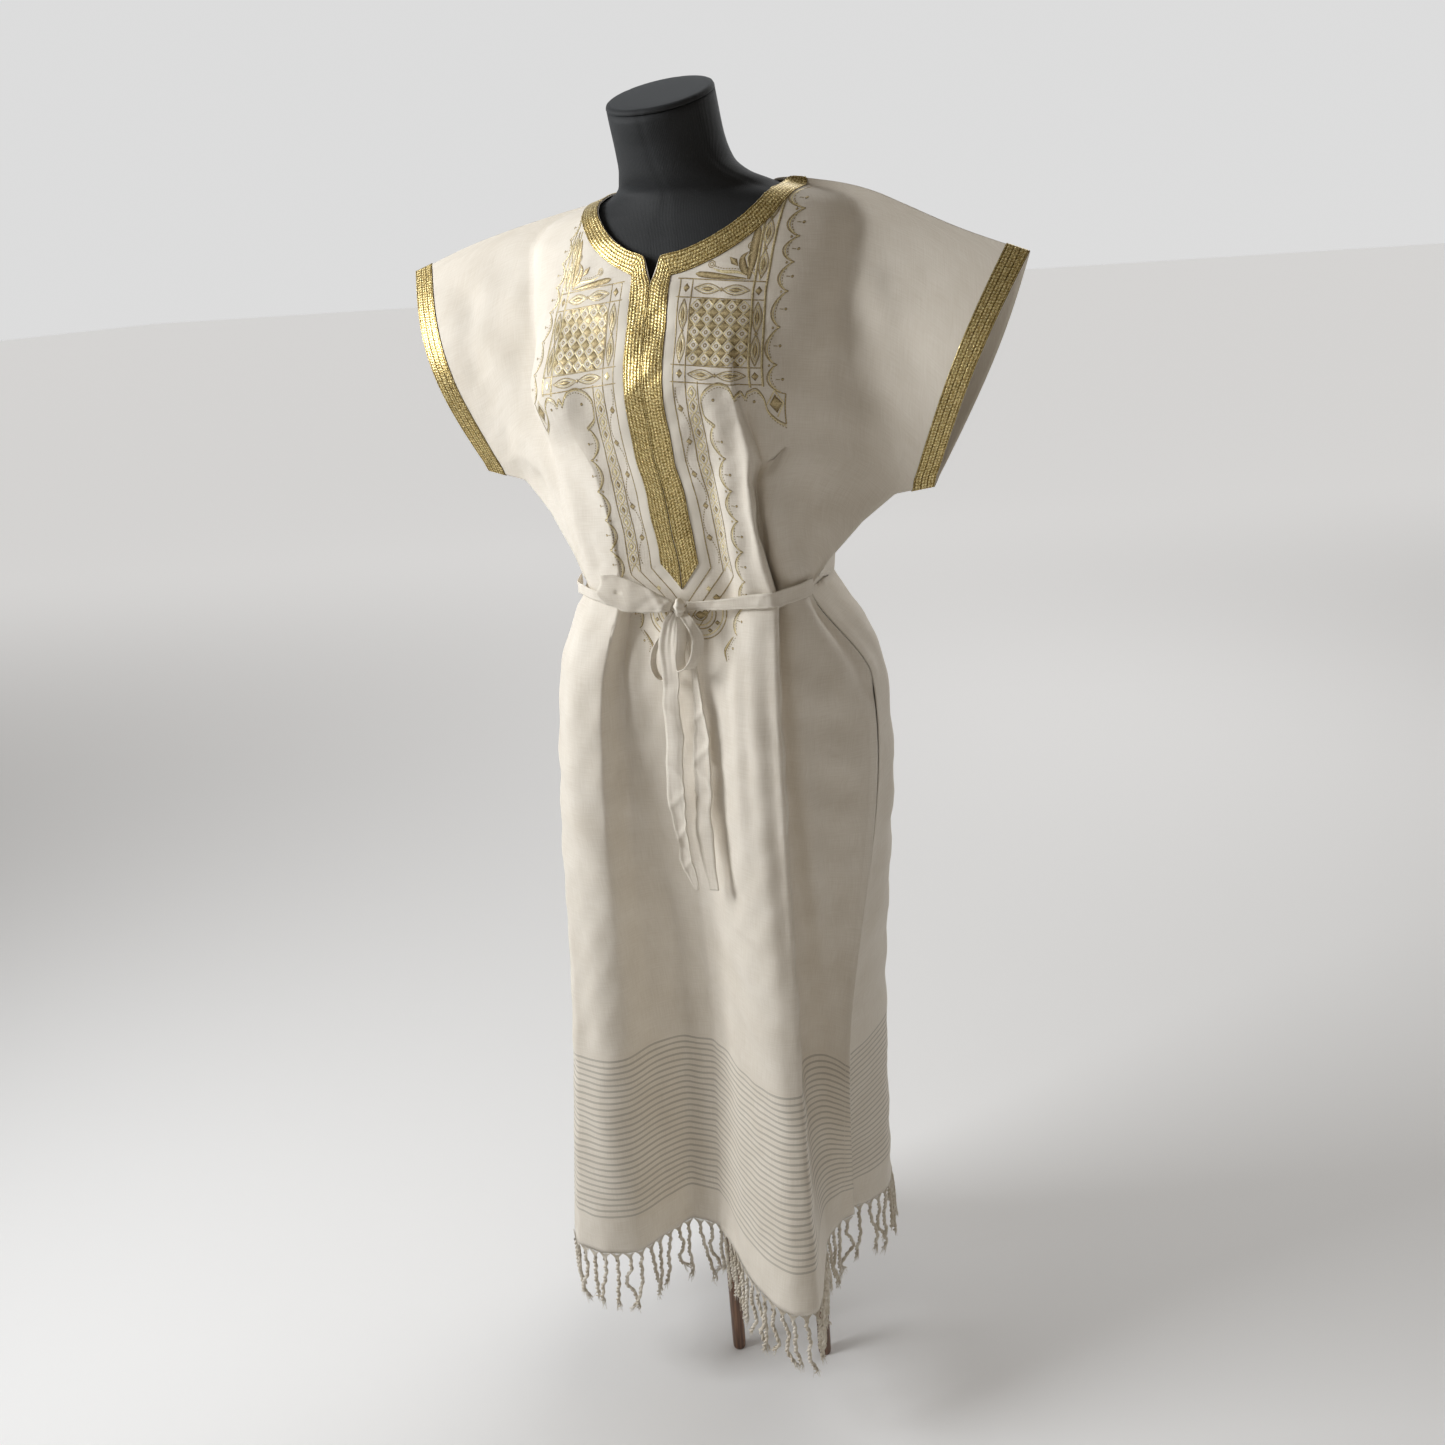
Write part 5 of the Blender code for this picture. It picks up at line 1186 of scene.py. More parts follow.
class Thread:
    """One colour of embroidery thread: ribbons of stitches that are kept in one mesh."""

    def __init__(self, name, material, tall):
        self.name, self.material, self.tall = name, material, tall
        self.bm = bmesh.new()
        self.crown = self.bm.verts.layers.float.new("crown")
        self.way = Vector((0, -1, 0))

    def sew(self, path, width, sign, taper=None, stations=None):
        """A ribbon of satin stitch along a path in the chart. taper gives its width at 0 to 1."""
        path = np.array(path, float)
        run = run_length(path)
        count = stations or max(3, int(run[-1] / thread_step) + 1)
        at = np.linspace(0, run[-1], count)
        middle = places_at(at, run, path)
        along = unit(np.gradient(middle, axis=0) + 1e-12)
        half = 0.5 * (width + thread_spread) * (np.ones(count) if taper is None else taper(at / run[-1]))
        across = np.stack([-along[:, 1], along[:, 0]], -1) * half[:, None]
        rows = []
        # A low crown at the edges and a full one in the middle: painted shade at the ribbon's edges, painted
        # highlight along its middle
        for shift, crown in ((-1, 0.25), (0, 1.0), (1, 0.25)):
            for spot, tall in zip(middle + shift * across, half):
                place, way = on_front(float(chart_place(spot[0], spot[1], sign)), float(spot[1]))
                if place is None:
                    return
                swell = min(self.tall, 0.55 * tall) if shift == 0 else 0.0
                rows.append((place + way * (thread_lift + swell), crown))
        self.lay(rows, count)

    def lay(self, rows, count):
        """A ribbon through (place, crown) pairs: three rows of a number of stations."""
        made = bmesh.ops.create_grid(self.bm, x_segments=count - 1, y_segments=2, size=1)
        for vert in made["verts"]:
            column = round((vert.co.x + 1) / 2 * (count - 1))
            vert.co, vert[self.crown] = rows[round(vert.co.y + 1) * count + column]
        faces = {face for vert in made["verts"] for face in vert.link_faces}
        for face in faces:
            face.normal_update()
        if sum(face.normal.dot(self.way) for face in faces) < 0:
            bmesh.ops.reverse_faces(self.bm, faces=list(faces))

    def tack(self, first, last, way, width=0.0006):
        """One machine stitch from place to place, on cloth that faces the given way."""
        aside = unit(np.cross(last - first, way)) * width / 2
        rows = []
        # Painted shade at the stitch's edges, painted highlight along its middle
        for shift, crown in ((-1, 0.25), (0, 1.0), (1, 0.25)):
            for share in (0.0, 0.5, 1.0):
                up = thread_lift + (self.tall if shift == 0 and share == 0.5 else 0.0)
                rows.append((first + (last - first) * share + shift * aside + way * up, crown))
        self.way = Vector(way)
        self.lay(rows, 3)
        self.way = Vector((0, -1, 0))

    def dashes(self, path, sign, width=0.0008, long=0.0024, gap=0.0017):
        """Running stitch along a path."""
        path = np.array(path, float)
        run = run_length(path)
        for start in np.arange(0.0006, run[-1] - long, long + gap):
            at = np.linspace(start, start + long, 3)
            self.sew(places_at(at, run, path), width, sign, stations=3)

    def lozenge(self, out, z, wide, tall, sign, part="whole"):
        """A filled lozenge, or the half of it on one side of its middle."""
        if part == "whole":
            tip = lambda t: 1 - np.abs(2 * t - 1)
        else:
            tip = (lambda t: t) if part in ("inner", "lower") else (lambda t: 1 - t)
        if part in ("upper", "lower"):
            ends = ((out, z), (out, z + tall / 2)) if part == "upper" else ((out, z - tall / 2), (out, z))
            self.sew(ends, wide, sign, tip, 4)
        else:
            low = 0.0 if part == "outer" else wide / 2
            high = 0.0 if part == "inner" else wide / 2
            self.sew(((out - low, z), (out + high, z)), tall, sign, tip, 7 if part == "whole" else 4)

    def ring(self, out, z, radius, sign, width=0.0008):
        turn = np.linspace(0, 2 * np.pi, 10)
        circle = np.stack([out + radius * np.cos(turn), z + radius * np.sin(turn)], -1)
        self.sew(circle, width, sign, stations=10)

    def dot(self, out, z, size, sign):
        disc = lambda t: np.sqrt(np.maximum(0.02, 1 - (2 * t - 1) ** 2))
        self.sew(((out - size / 2, z), (out + size / 2, z)), size, sign, disc, 5)

    def almond(self, ends, wide, sign, line=0.0008):
        """An almond's outline, with a small filled one inside it."""
        ends = np.array(ends, float)
        share = np.linspace(0, 1, 15)
        spine = ends[0] + (ends[1] - ends[0]) * share[:, None]
        aside = unit(np.array((-(ends[1] - ends[0])[1], (ends[1] - ends[0])[0]))) * wide / 2
        for way in (-1, 1):
            self.sew(spine + way * np.sin(np.pi * share)[:, None] * aside, line, sign)
        core = ends[0] + (ends[1] - ends[0]) * np.array((0.26, 0.74))[:, None]
        self.sew(core, wide * 0.42, sign, lambda t: np.sin(np.pi * np.clip(t, 0.04, 0.96)), 9)

    def finish(self):
        finish_mesh(self.name, self.bm, self.material, outward=False)


# Each thread's colours run from painted shade between its turns to a painted highlight on top
pale_metal = metal_thread(
    "gold_thread", (0.400, 0.300, 0.130), (0.740, 0.610, 0.310), (0.980, 0.900, 0.600), 0.40, 0.38, 0.0006
)
brown_metal = metal_thread(
    "brown_thread", (0.120, 0.086, 0.038), (0.320, 0.240, 0.115), (0.640, 0.520, 0.290), 0.36, 0.40, 0.0006
)
pale = Thread("embroidery_gold", pale_metal, 0.00045)
brown = Thread("embroidery_brown", brown_metal, 0.00045)
plain = Thread("machine_stitches", new_material("cream_thread", (0.74, 0.69, 0.60), 0.7)[0], 0.0003)


def mitred(out):
    """A line beside the opening that turns below the braid's point and meets the middle line."""
    turn = 1.0899 - 0.34 * (out - 0.0335)
    return ((out, turn), (0.0004, turn - 1.3 * out))


def scallops(cusps, bow, sign):
    """Arcs that sag inwards between cusps: two lines, a running stitch and dots."""
    cusps = np.array(cusps, float)
    for low, high in zip(cusps[:-1], cusps[1:]):
        share = np.linspace(0, 1, 17)
        chord = low + (high - low) * share[:, None]
        sag = (np.sin(np.pi * share) ** 0.7)[:, None] * (-1.0, 0.0)
        brown.sew(chord + sag * bow, line, sign)
        pale.sew((chord + sag * (bow - 0.0019))[1:-1], line, sign)
        brown.dashes((chord + sag * (bow - 0.0040))[3:-3], sign, fine, 0.0016, 0.0013)
        out, z = (low + high) / 2
        brown.dot(out + 0.0012, z, 0.0026, sign)
        brown.sew(((out - 0.0042, z + 0.0006), (out - 0.0008, z)), 0.0005, sign, stations=3)
    for out, z in cusps[1:-1]:
        brown.dot(out - 0.0065, z, 0.0022, sign)
        pale.lozenge(out - 0.0020, z, 0.0040, 0.0018, sign)


def double_almond(ends, inset, wide, narrow, sign):
    """An almond in brown, with a pale one inside it."""
    brown.almond(ends, wide, sign)
    pale.almond((np.array(ends[0]) + inset, np.array(ends[1]) - inset), narrow, sign, fine)


square_in, square_out, frame_in, frame_out = 0.0335, 0.118, 0.046, 0.1065
square_lines = {"top": 1.3875, "under_top": 1.3700, "over_foot": 1.3060, "foot": 1.2895}


def square_level(out, *names):
    """Height of one of the squares' level lines, or midway between two. They slant down outwards."""
    return sum(square_lines[name] for name in names) / len(names) - 0.11 * (out - 0.030)


lattice_cells, lattice_inset = 5, 0.0008
pitch_out = (frame_out - frame_in - 0.002) / lattice_cells


def lattice_place(i, j):
    """A place counted in cells from the lattice's inner top corner, and how tall a cell is there."""
    out = frame_in + 0.001 + i * pitch_out
    top = square_level(out, "under_top") - lattice_inset
    pitch_z = (top - square_level(out, "over_foot") - lattice_inset) / lattice_cells
    return out, top - j * pitch_z, pitch_z


for sign in (-1, 1):
    # The tape beside the braid, held by two rows of machine stitch
    tape = np.array(((0.0278, 1.384), (0.0278, 1.24), *mitred(0.0278)))
    plain.sew(curved(tape[:3]), 0.0100, sign)
    plain.sew(tape[2:], 0.0080, sign)
    for out in (0.0245, 0.0302):
        plain.dashes(((out, 1.384), (out, 1.0930)), sign, fine, 0.0026, 0.0010)
    # Lines of the vine's channel and of the chain's column
    for out, top in ((square_in, 1.387), (frame_in, 1.386), (0.0585, 1.288)):
        brown.sew(((out, top), mitred(out)[0]), line, sign)
        brown.sew(mitred(out), line, sign)
    height = np.linspace(1.284, 1.094, 96)
    vine = 0.0398 + 0.0046 * np.sin(2 * np.pi * (1.262 - height) / 0.069 - 0.2)
    brown.dashes(np.stack([vine, height], -1), sign, 0.0007, 0.0017, 0.0012)
    for number, level in enumerate(np.arange(1.262, 1.092, -0.0345)):
        brown.lozenge(0.0398 - 0.0012 * (-1) ** number, level, 0.0064, 0.0076, sign)
    for side in (-1, 1):
        height = np.linspace(1.284, 1.086, 150)
        wave = 0.0522 + side * 0.0042 * np.sin(np.pi * (1.284 - height) / 0.0136)
        pale.sew(np.stack([wave, height], -1), line, sign)
    for number, level in enumerate(np.arange(1.2772, 1.088, -0.0136)):
        (brown if number % 2 else pale).lozenge(0.0522, level, 0.0044, 0.0078, sign)
        pale.dot(0.0482, level - 0.0068, 0.0018, sign)
        pale.dot(0.0562, level - 0.0068, 0.0018, sign)
    for place in ((0.036, 1.057), (0.024, 1.041)):
        brown.lozenge(place[0], place[1], 0.0080, 0.0080, sign)
    pale.lozenge(0.0290, 1.067, 0.0060, 0.0060, sign)

    # The squares: frames, bands of almonds, lozenges in the corners
    for name in square_lines:
        reach = np.array((0.0305, square_out))
        brown.sew(np.stack([reach, square_level(reach, name)], -1), line, sign)
    for out, top in ((frame_out, 1.440), (square_out, 1.462 if sign > 0 else 1.456)):
        pale.sew(((out, 1.278), (out, top)), 0.0010, sign)
        brown.sew(((out + 0.0012, 1.278), (out + 0.0012, top)), fine, sign)
    for band in (("top", "under_top"), ("over_foot", "foot")):
        for out in (0.0402, 0.1122):
            thread = brown if band[0] == "top" or sign > 0 else pale
            thread.lozenge(out, square_level(out, *band), 0.0066, 0.0086, sign)
        for out in (0.0620, 0.0905):
            ends = [(o, square_level(o, *band)) for o in (out - 0.0138, out + 0.0138)]
            double_almond(ends, (0.003, 0), 0.0096, 0.0058, sign)
        brown.lozenge(0.0762, square_level(0.0762, *band), 0.0030, 0.0048, sign)
    for out in (0.0398, 0.1122):
        top, foot = square_level(out, "under_top"), square_level(out, "over_foot")
        for share in (0.26, 0.74):
            level = top + (foot - top) * share
            ends = ((out, level + 0.0150), (out, level - 0.0150))
            double_almond(ends, (0, -0.0035), 0.0084, 0.0050, sign)
        brown.lozenge(out, (top + foot) / 2, 0.0044, 0.0032, sign)
    for level in (1.3950, 1.4240, 1.4500)[: 3 if sign > 0 else 2]:
        ends = ((0.1122, level + 0.0135), (0.1122, level - 0.0135))
        double_almond(ends, (0, -0.0035), 0.0084, 0.0050, sign)
        brown.lozenge(0.1122, level + 0.0145, 0.0044, 0.0030, sign)

    # The lattice: filled diamonds between open ones, each of those with a ring
    for i, j in np.ndindex(lattice_cells + 1, lattice_cells + 1):
        out, level, pitch_z = lattice_place(i, j)
        at_side, at_end = i % lattice_cells == 0, j % lattice_cells == 0
        if at_side and at_end:
            continue
        part = ("inner" if i else "outer") if at_side else ("upper" if j else "lower") if at_end else "whole"
        brown.lozenge(out, level, pitch_out * 0.90, pitch_z * 0.90, sign, part)
    for i, j in np.ndindex(lattice_cells, lattice_cells):
        out, level, pitch_z = lattice_place(i + 0.5, j + 0.5)
        wide, tall = pitch_out * 0.46, pitch_z * 0.46
        corners = ((out - wide, level), (out, level + tall), (out + wide, level), (out, level - tall))
        for first, second in zip(corners, (*corners[1:], corners[0])):
            pale.sew((first, second), 0.0008, sign, stations=4)
        brown.ring(out, level, 0.0015, sign)

    # The corner over each square: two wedges, a leaf, a lozenge and two rosettes
    upright = lambda t: 1.25 * (t + 0.12) * (1 - t) ** 0.55 + 0.02
    lying = lambda t: 0.12 + 0.88 * t * (1 - t) ** 0.35 * 1.5
    brown.sew(((0.1010, 1.3815), (0.1030, 1.432)), 0.0150, sign, upright, 18)
    brown.sew(((0.0990, 1.3820), (0.048, 1.3905)), 0.0082, sign, lying, 16)
    leaf = curved(((0.1010, 1.3850), (0.0945, 1.3930), (0.0925, 1.4020), (0.0975, 1.4080)))
    brown.sew(leaf, 0.0064, sign, lambda t: np.sin(np.pi * t**0.8) + 0.05)
    pale.sew(leaf + (0.0048, 0.0006), 0.0008, sign)
    brown.dashes(leaf + (0.0072, 0.0020), sign, fine, 0.0016, 0.0012)
    long_leaf = curved(((0.0990, 1.3850), (0.0880, 1.3895), (0.0760, 1.3905), (0.0650, 1.3945)))
    pale.sew(long_leaf, 0.0026, sign, lambda t: np.sin(np.pi * t) + 0.1)
    brown.dashes(long_leaf + (0.0, 0.0030), sign, fine, 0.0016, 0.0012)
    brown.sew(((0.0900, 1.3945), (0.0805, 1.4045)), 0.0062, sign, lambda t: 1 - np.abs(2 * t - 1), 7)
    for out, level in ((0.0995, 1.4135), (0.0640, 1.3985)):
        brown.ring(out, level, 0.0034, sign, 0.0007)
        brown.ring(out, level, 0.0016, sign, 0.0007)
    pale.sew(((0.1110, 1.3800), (0.1095, 1.4330)), line, sign)

    # The outer edge: scallops from the shoulder to the square's foot, then down beside the chain
    if sign > 0:
        cusps = (
            (0.1280, 1.4660), (0.1360, 1.4453), (0.1380, 1.4190), (0.1390, 1.3948), (0.1390, 1.3674),
            (0.1330, 1.3335), (0.1310, 1.2979), (0.1370, 1.2686),
        )
    else:
        cusps = (
            (0.1270, 1.4560), (0.1300, 1.4330), (0.1310, 1.4090), (0.1320, 1.3850), (0.1320, 1.3600),
            (0.1370, 1.3300), (0.1400, 1.2980), (0.1400, 1.2686),
        )
    scallops(cusps, 0.0115, sign)
    tip = curved(((0.1370, 1.2686), (0.1352, 1.2560), (0.1340, 1.2380)))
    arches = (
        (
            (0.1340, 1.2380), (0.1265, 1.2450), (0.1205, 1.2550), (0.1180, 1.2680), (0.1110, 1.2770),
            (0.1035, 1.2740),
        ),
        ((0.1035, 1.2740), (0.1010, 1.2690), (0.0975, 1.2760), (0.0940, 1.2700)),
        (
            (0.0940, 1.2700), (0.0885, 1.2815), (0.0790, 1.2855), (0.0680, 1.2810), (0.0608, 1.2700),
            (0.0612, 1.2560), (0.0720, 1.2437),
        ),
    )
    brown.sew(tip, line, sign)
    for arch in map(curved, arches):
        brown.sew(arch, line, sign)
        pale.sew(arch + (0.0, -0.0020), 0.0008, sign)
        brown.dashes(arch + (0.0006, -0.0044), sign, fine, 0.0016, 0.0013)
    brown.lozenge(0.1282, 1.2600, 0.0110, 0.0190, sign)
    corners = ((0.1205, 1.2600), (0.1282, 1.2735), (0.1345, 1.2600), (0.1282, 1.2465))
    for ends in zip(corners[:-1], corners[1:]):
        pale.sew(ends, 0.0008, sign)
    for out, level in ((0.0735, 1.2690), (0.1095, 1.2640)):
        brown.dot(out, level, 0.0030, sign)
    beside_chain = (
        (0.0720, 1.2437), (0.0770, 1.2083), (0.0770, 1.1751), (0.0770, 1.1431), (0.0770, 1.1101),
        (0.0740, 1.0770),
    )
    scallops(beside_chain, 0.0105, sign)
    scallops(((0.0740, 1.0770), (0.0700, 1.0480), (0.0610, 1.0180)), 0.0090, sign)

    # Under the belt: half a rosette on each side of the middle line, and a hook
    for radius in (0.008, 0.0135, 0.0175, 0.0250, 0.0290):
        turn = np.linspace(-np.pi, 0.15, 40)
        arc = np.stack([0.0180 + radius * np.cos(turn), 1.0400 + radius * np.sin(turn)], -1)
        arc = arc[arc[:, 0] > 0.0006]
        (pale if radius in (0.0135, 0.0250) else brown).sew(arc, 0.0011, sign)
    seed = lambda t: np.sin(np.pi * np.clip(t, 0.03, 0.97))
    brown.sew(((0.0120, 1.0380), (0.0240, 1.0380)), 0.0090, sign, seed, 8)
    for turn in np.linspace(-2.3, -0.5, 4):
        brown.lozenge(0.0180 + 0.0214 * np.cos(turn), 1.0400 + 0.0214 * np.sin(turn), 0.0060, 0.0050, sign)
    hook = curved(((0.0560, 1.0160), (0.0500, 1.0080), (0.0455, 0.9990), (0.0480, 0.9890)))
    brown.sew(hook, 0.0018, sign, lambda t: 0.5 + np.sin(np.pi * t))
    brown.dashes(hook + (0.0034, 0.0), sign, fine, 0.0016, 0.0013)
    brown.dot(0.0560, 1.0040, 0.0028, sign)

for thread in (pale, brown):
    thread.finish()

# Belt, tied in a bow
# Two ties, each a strip of the dress's cotton folded in half lengthwise and stitched along its
# raw, fraying lower edge. They start in the side seams and meet in a small hard knot with one
# large loop, two small ones and two crumpled tails.
knot_place, knot_size = np.array((0.013, -0.1325, 1.0510)), (0.0125, 0.0155, 0.0205)
# A tie from the knot to its side seam: share of the way, width and height
tie_table = np.array(((0.0, 0.009, 1.0500), (0.3, 0.011, 1.0520), (0.6, 0.015, 1.0560), (1.0, 0.018, 1.0590)))
# Each stretch of a tie: x, y and z of its middle line, and how wide it shows
large_loop = (
    (0.0060, -0.1380, 1.0535, 0.010),
    (-0.0060, -0.1430, 1.0575, 0.020),
    (-0.0240, -0.1465, 1.0625, 0.029),
    (-0.0420, -0.1480, 1.0672, 0.034),
    (-0.0560, -0.1480, 1.0720, 0.033),
    (-0.0660, -0.1470, 1.0762, 0.027),
    (-0.0716, -0.1450, 1.0785, 0.018),
    (-0.0728, -0.1415, 1.0780, 0.014),
    (-0.0690, -0.1385, 1.0750, 0.015),
    (-0.0450, -0.1360, 1.0670, 0.018),
    (-0.0200, -0.1345, 1.0600, 0.016),
    (0.0033, -0.1325, 1.0545, 0.010),
)
small_loop = (
    (0.0165, -0.1330, 1.0430, 0.008),
    (0.0255, -0.1345, 1.0330, 0.011),
    (0.0325, -0.1345, 1.0170, 0.013),
    (0.0290, -0.1340, 0.9980, 0.013),
    (0.0170, -0.1335, 0.9830, 0.011),
    (0.0090, -0.1325, 0.9810, 0.010),
    (0.0085, -0.1320, 0.9930, 0.011),
    (0.0120, -0.1315, 1.0150, 0.011),
    (0.0135, -0.1315, 1.0400, 0.009),
)
side_loop = (
    (-0.0030, -0.1240, 1.0450, 0.006),
    (-0.0080, -0.1240, 1.0240, 0.007),
    (-0.0180, -0.1240, 1.0110, 0.008),
    (-0.0255, -0.1240, 0.9980, 0.008),
    (-0.0285, -0.1240, 0.9830, 0.008),
    (-0.0250, -0.1240, 0.9700, 0.007),
    (-0.0180, -0.1240, 0.9650, 0.006),
    (-0.0090, -0.1240, 0.9720, 0.006),
)
front_tail = (
    (0.0060, -0.1320, 1.0450, 0.010),
    (0.0000, -0.1315, 1.0300, 0.018),
    (-0.0045, -0.1310, 1.0050, 0.021),
    (-0.0050, -0.1305, 0.9710, 0.019),
    (-0.0085, -0.1300, 0.9400, 0.019),
    (-0.0085, -0.1290, 0.9050, 0.021),
    (-0.0115, -0.1285, 0.8700, 0.020),
    (-0.0125, -0.1280, 0.8340, 0.022),
    (-0.0110, -0.1270, 0.7930, 0.015),
    (-0.0075, -0.1265, 0.7700, 0.012),
    (-0.0080, -0.1260, 0.7540, 0.015),
    (-0.0030, -0.1255, 0.7340, 0.012),
    (0.0020, -0.1250, 0.7140, 0.005),
)
back_tail = (
    (0.0130, -0.1230, 1.0452, 0.008),
    (0.0165, -0.1220, 1.0100, 0.008),
    (0.0190, -0.1220, 0.9850, 0.007),
    (0.0215, -0.1220, 0.9390, 0.011),
    (0.0225, -0.1220, 0.9100, 0.017),
    (0.0212, -0.1220, 0.8870, 0.021),
    (0.0183, -0.1220, 0.8340, 0.021),
    (0.0158, -0.1220, 0.8100, 0.019),
    (0.0153, -0.1220, 0.7880, 0.022),
    (0.0178, -0.1220, 0.7520, 0.017),
    (0.0222, -0.1220, 0.7150, 0.012),
)
# Crumples across a strip: place along it, slant, height and width
tie_crumples = (
    (0.012, 0.8, 0.0008, 0.0030), (0.030, -0.9, -0.0006, 0.0036), (0.055, 1.2, 0.0006, 0.0040),
    (0.083, -0.6, 0.0007, 0.0034), (0.105, 0.9, -0.0005, 0.0040),
)
loop_crumples = (
    (0.006, 0.5, 0.0012, 0.0025), (0.014, -0.9, 0.0014, 0.0040), (0.024, 0.9, -0.0009, 0.0050),
    (0.047, -0.4, 0.0008, 0.0060),
)
front_tail_crumples = (
    (0.050, 0.5, 0.0010, 0.0070), (0.084, -0.7, -0.0011, 0.0060), (0.117, 0.6, 0.0011, 0.0045),
    (0.150, -0.5, -0.0009, 0.0075), (0.186, 0.8, 0.0012, 0.0050), (0.222, -0.9, 0.0013, 0.0042),
    (0.244, 0.7, -0.0012, 0.0050), (0.263, -1.0, 0.0013, 0.0036), (0.283, 0.8, 0.0011, 0.0036),
    (0.302, -0.7, 0.0009, 0.0030),
)
back_tail_crumples = (
    (0.060, 0.4, 0.0006, 0.0060), (0.118, 0.9, 0.0013, 0.0040), (0.140, -0.7, -0.0012, 0.0052),
    (0.164, 1.0, 0.0015, 0.0046), (0.190, -0.9, 0.0012, 0.0044), (0.214, 0.6, -0.0012, 0.0060),
    (0.254, 0.6, 0.0008, 0.0070), (0.298, -0.4, 0.0008, 0.0070),
)
strip_wall, strip_step, strip_columns, fray_pitch = 0.0011, 0.0016, 19, 0.0011
# The stitched line's place across a strip, from -1 to 1, and its stitches
stitched, strip_stitch, strip_stitch_pitch = 0.62, 0.0022, 0.0031
tie_level, tie_reach = 1.054, 0.014
fray_random = np.random.default_rng(23)


def flat_map(mesh):
    """The cotton's map for a small piece, taken from where it lies. It stays above the stripes."""
    places = np.empty(len(mesh.vertices) * 3, np.float32)
    mesh.vertices.foreach_get("co", places)
    places = places.reshape(-1, 3)
    set_cloth_map(mesh, np.stack([places[:, 0] + places[:, 1], places[:, 2] + 2.0], -1))


def tube_into(bm, route, radii, sides=5):
    """A tube with open ends, added to a bmesh."""
    along = unit(np.gradient(route, axis=0))
    start = np.array((0.31, 0.95, 0.05))
    first = unit(np.cross(along, start))
    second = np.cross(along, first)
    turn = np.linspace(0, 2 * np.pi, sides + 1)
    ring = np.cos(turn)[:, None] * first[:, None, :] + np.sin(turn)[:, None] * second[:, None, :]
    points = route[:, None, :] + np.asarray(radii)[:, None, None] * ring
    made = bmesh.ops.create_grid(bm, x_segments=sides, y_segments=len(route) - 1, size=1)
    for vert in made["verts"]:
        vert.co = points[round((vert.co.y + 1) / 2 * (len(route) - 1)), round((vert.co.x + 1) / 2 * sides)]
    bmesh.ops.remove_doubles(bm, verts=made["verts"], dist=0.000001)


def cloth_strip(name, table, wide_way, crumples, curl, node, slit=None, pleated=0.0):
    """A folded cotton strip as one thin closed body, stitched and frayed along its second edge."""
    table = np.array(table, float)
    run = run_length(table[:, :3])
    at = np.linspace(0, run[-1], int(run[-1] / strip_step) + 1)
    line = through(run, table, at)
    centre = line[:, :3] + axis
    along = unit(np.gradient(centre, axis=0))
    wide = unit(np.array(wide_way, float) - along * (along @ np.array(wide_way, float))[:, None])
    out = np.cross(along, wide)
    if out[len(out) // 4, 1] > 0:
        out = -out
    share = np.linspace(-1, 1, strip_columns)
    half = line[:, 3:4] / 2
    height = curl * share[None, :] ** 2 * np.sin(9.0 * at / run[-1] + 0.7)[:, None]
    height = height + 0.00035 * np.exp(-(((share + 0.72) / 0.14) ** 2))[None, :]
    height = height + pleated * np.cos(3 * np.pi * share + 0.5)[None, :] * np.exp(-at / 0.028)[:, None]
    for place, slant, deep, spread in crumples:
        off = at[:, None] - place - slant * share[None, :] * half
        height = height + deep * np.exp(-0.5 * (off / spread) ** 2)
    height = height - 0.00045 * np.exp(-(((share - stitched) / 0.07) ** 2))[None, :]
    if slit:
        off = ((at[:, None] - slit[0]) / 0.0034) ** 2 + ((share[None, :] - slit[1]) * half / 0.0011) ** 2
        height = height - 0.0035 * np.exp(-off)
    edge = 1 + 0.035 * np.sin(at * 310.0)[:, None] * (share > 0) + 0.02 * np.sin(at * 173.0 + 1)[:, None]
    face = centre[:, None, :] + wide[:, None, :] * (share[None, :] * half * edge)[..., None]
    top = face + out[:, None, :] * (height + strip_wall / 2)[..., None]
    under = face[:, ::-2] + out[:, None, :] * (height - strip_wall / 2)[:, ::-2, None]
    bm = grid_mesh(np.concatenate([top, under], axis=1), closed=True)
    close_ends(bm)
    bmesh.ops.recalc_face_normals(bm, faces=bm.faces)
    for spot in np.arange(0.002, run[-1] - 0.002, fray_pitch):
        row = int(np.searchsorted(at, spot))
        root = face[row, -1]
        tip = root + wide[row] * fray_random.uniform(0.0006, 0.0019)
        tip = tip + along[row] * fray_random.normal(0, 0.0010)
        tip = tip + out[row] * fray_random.normal(0, 0.0004)
        route = np.array((root - wide[row] * 0.0006, (root + tip) / 2 + out[row] * 0.0003, tip))
        tube_into(bm, route, (0.00016, 0.00014, 0.00006), sides=3)
    made = finish_mesh(name, bm, cotton, outward=False)
    flat_map(made.data)
    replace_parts(made, node)
    # Cut twice as wide as it shows, because it is folded along its upper edge
    column = round((stitched + 1) / 2 * (strip_columns - 1))
    for spot in np.arange(0.004, run[-1] - 0.006, strip_stitch_pitch):
        first, last = int(np.searchsorted(at, spot)), int(np.searchsorted(at, spot + strip_stitch))
        plain.tack(top[first, column], top[last, column], out[first])
    return made


bpy.context.view_layer.update()
graph = bpy.context.evaluated_depsgraph_get()
shown = front_cloth.evaluated_get(graph).to_mesh()
cloth_verts = np.empty(len(shown.vertices) * 3, np.float32)
shown.vertices.foreach_get("co", cloth_verts)
front_cloth.evaluated_get(graph).to_mesh_clear()
cloth_verts = cloth_verts.reshape(-1, 3)
near_belt = cloth_verts[np.abs(cloth_verts[:, 2] - tie_level) < tie_reach][:, :2]
near_belt = near_belt[np.argsort(near_belt[:, 0])]
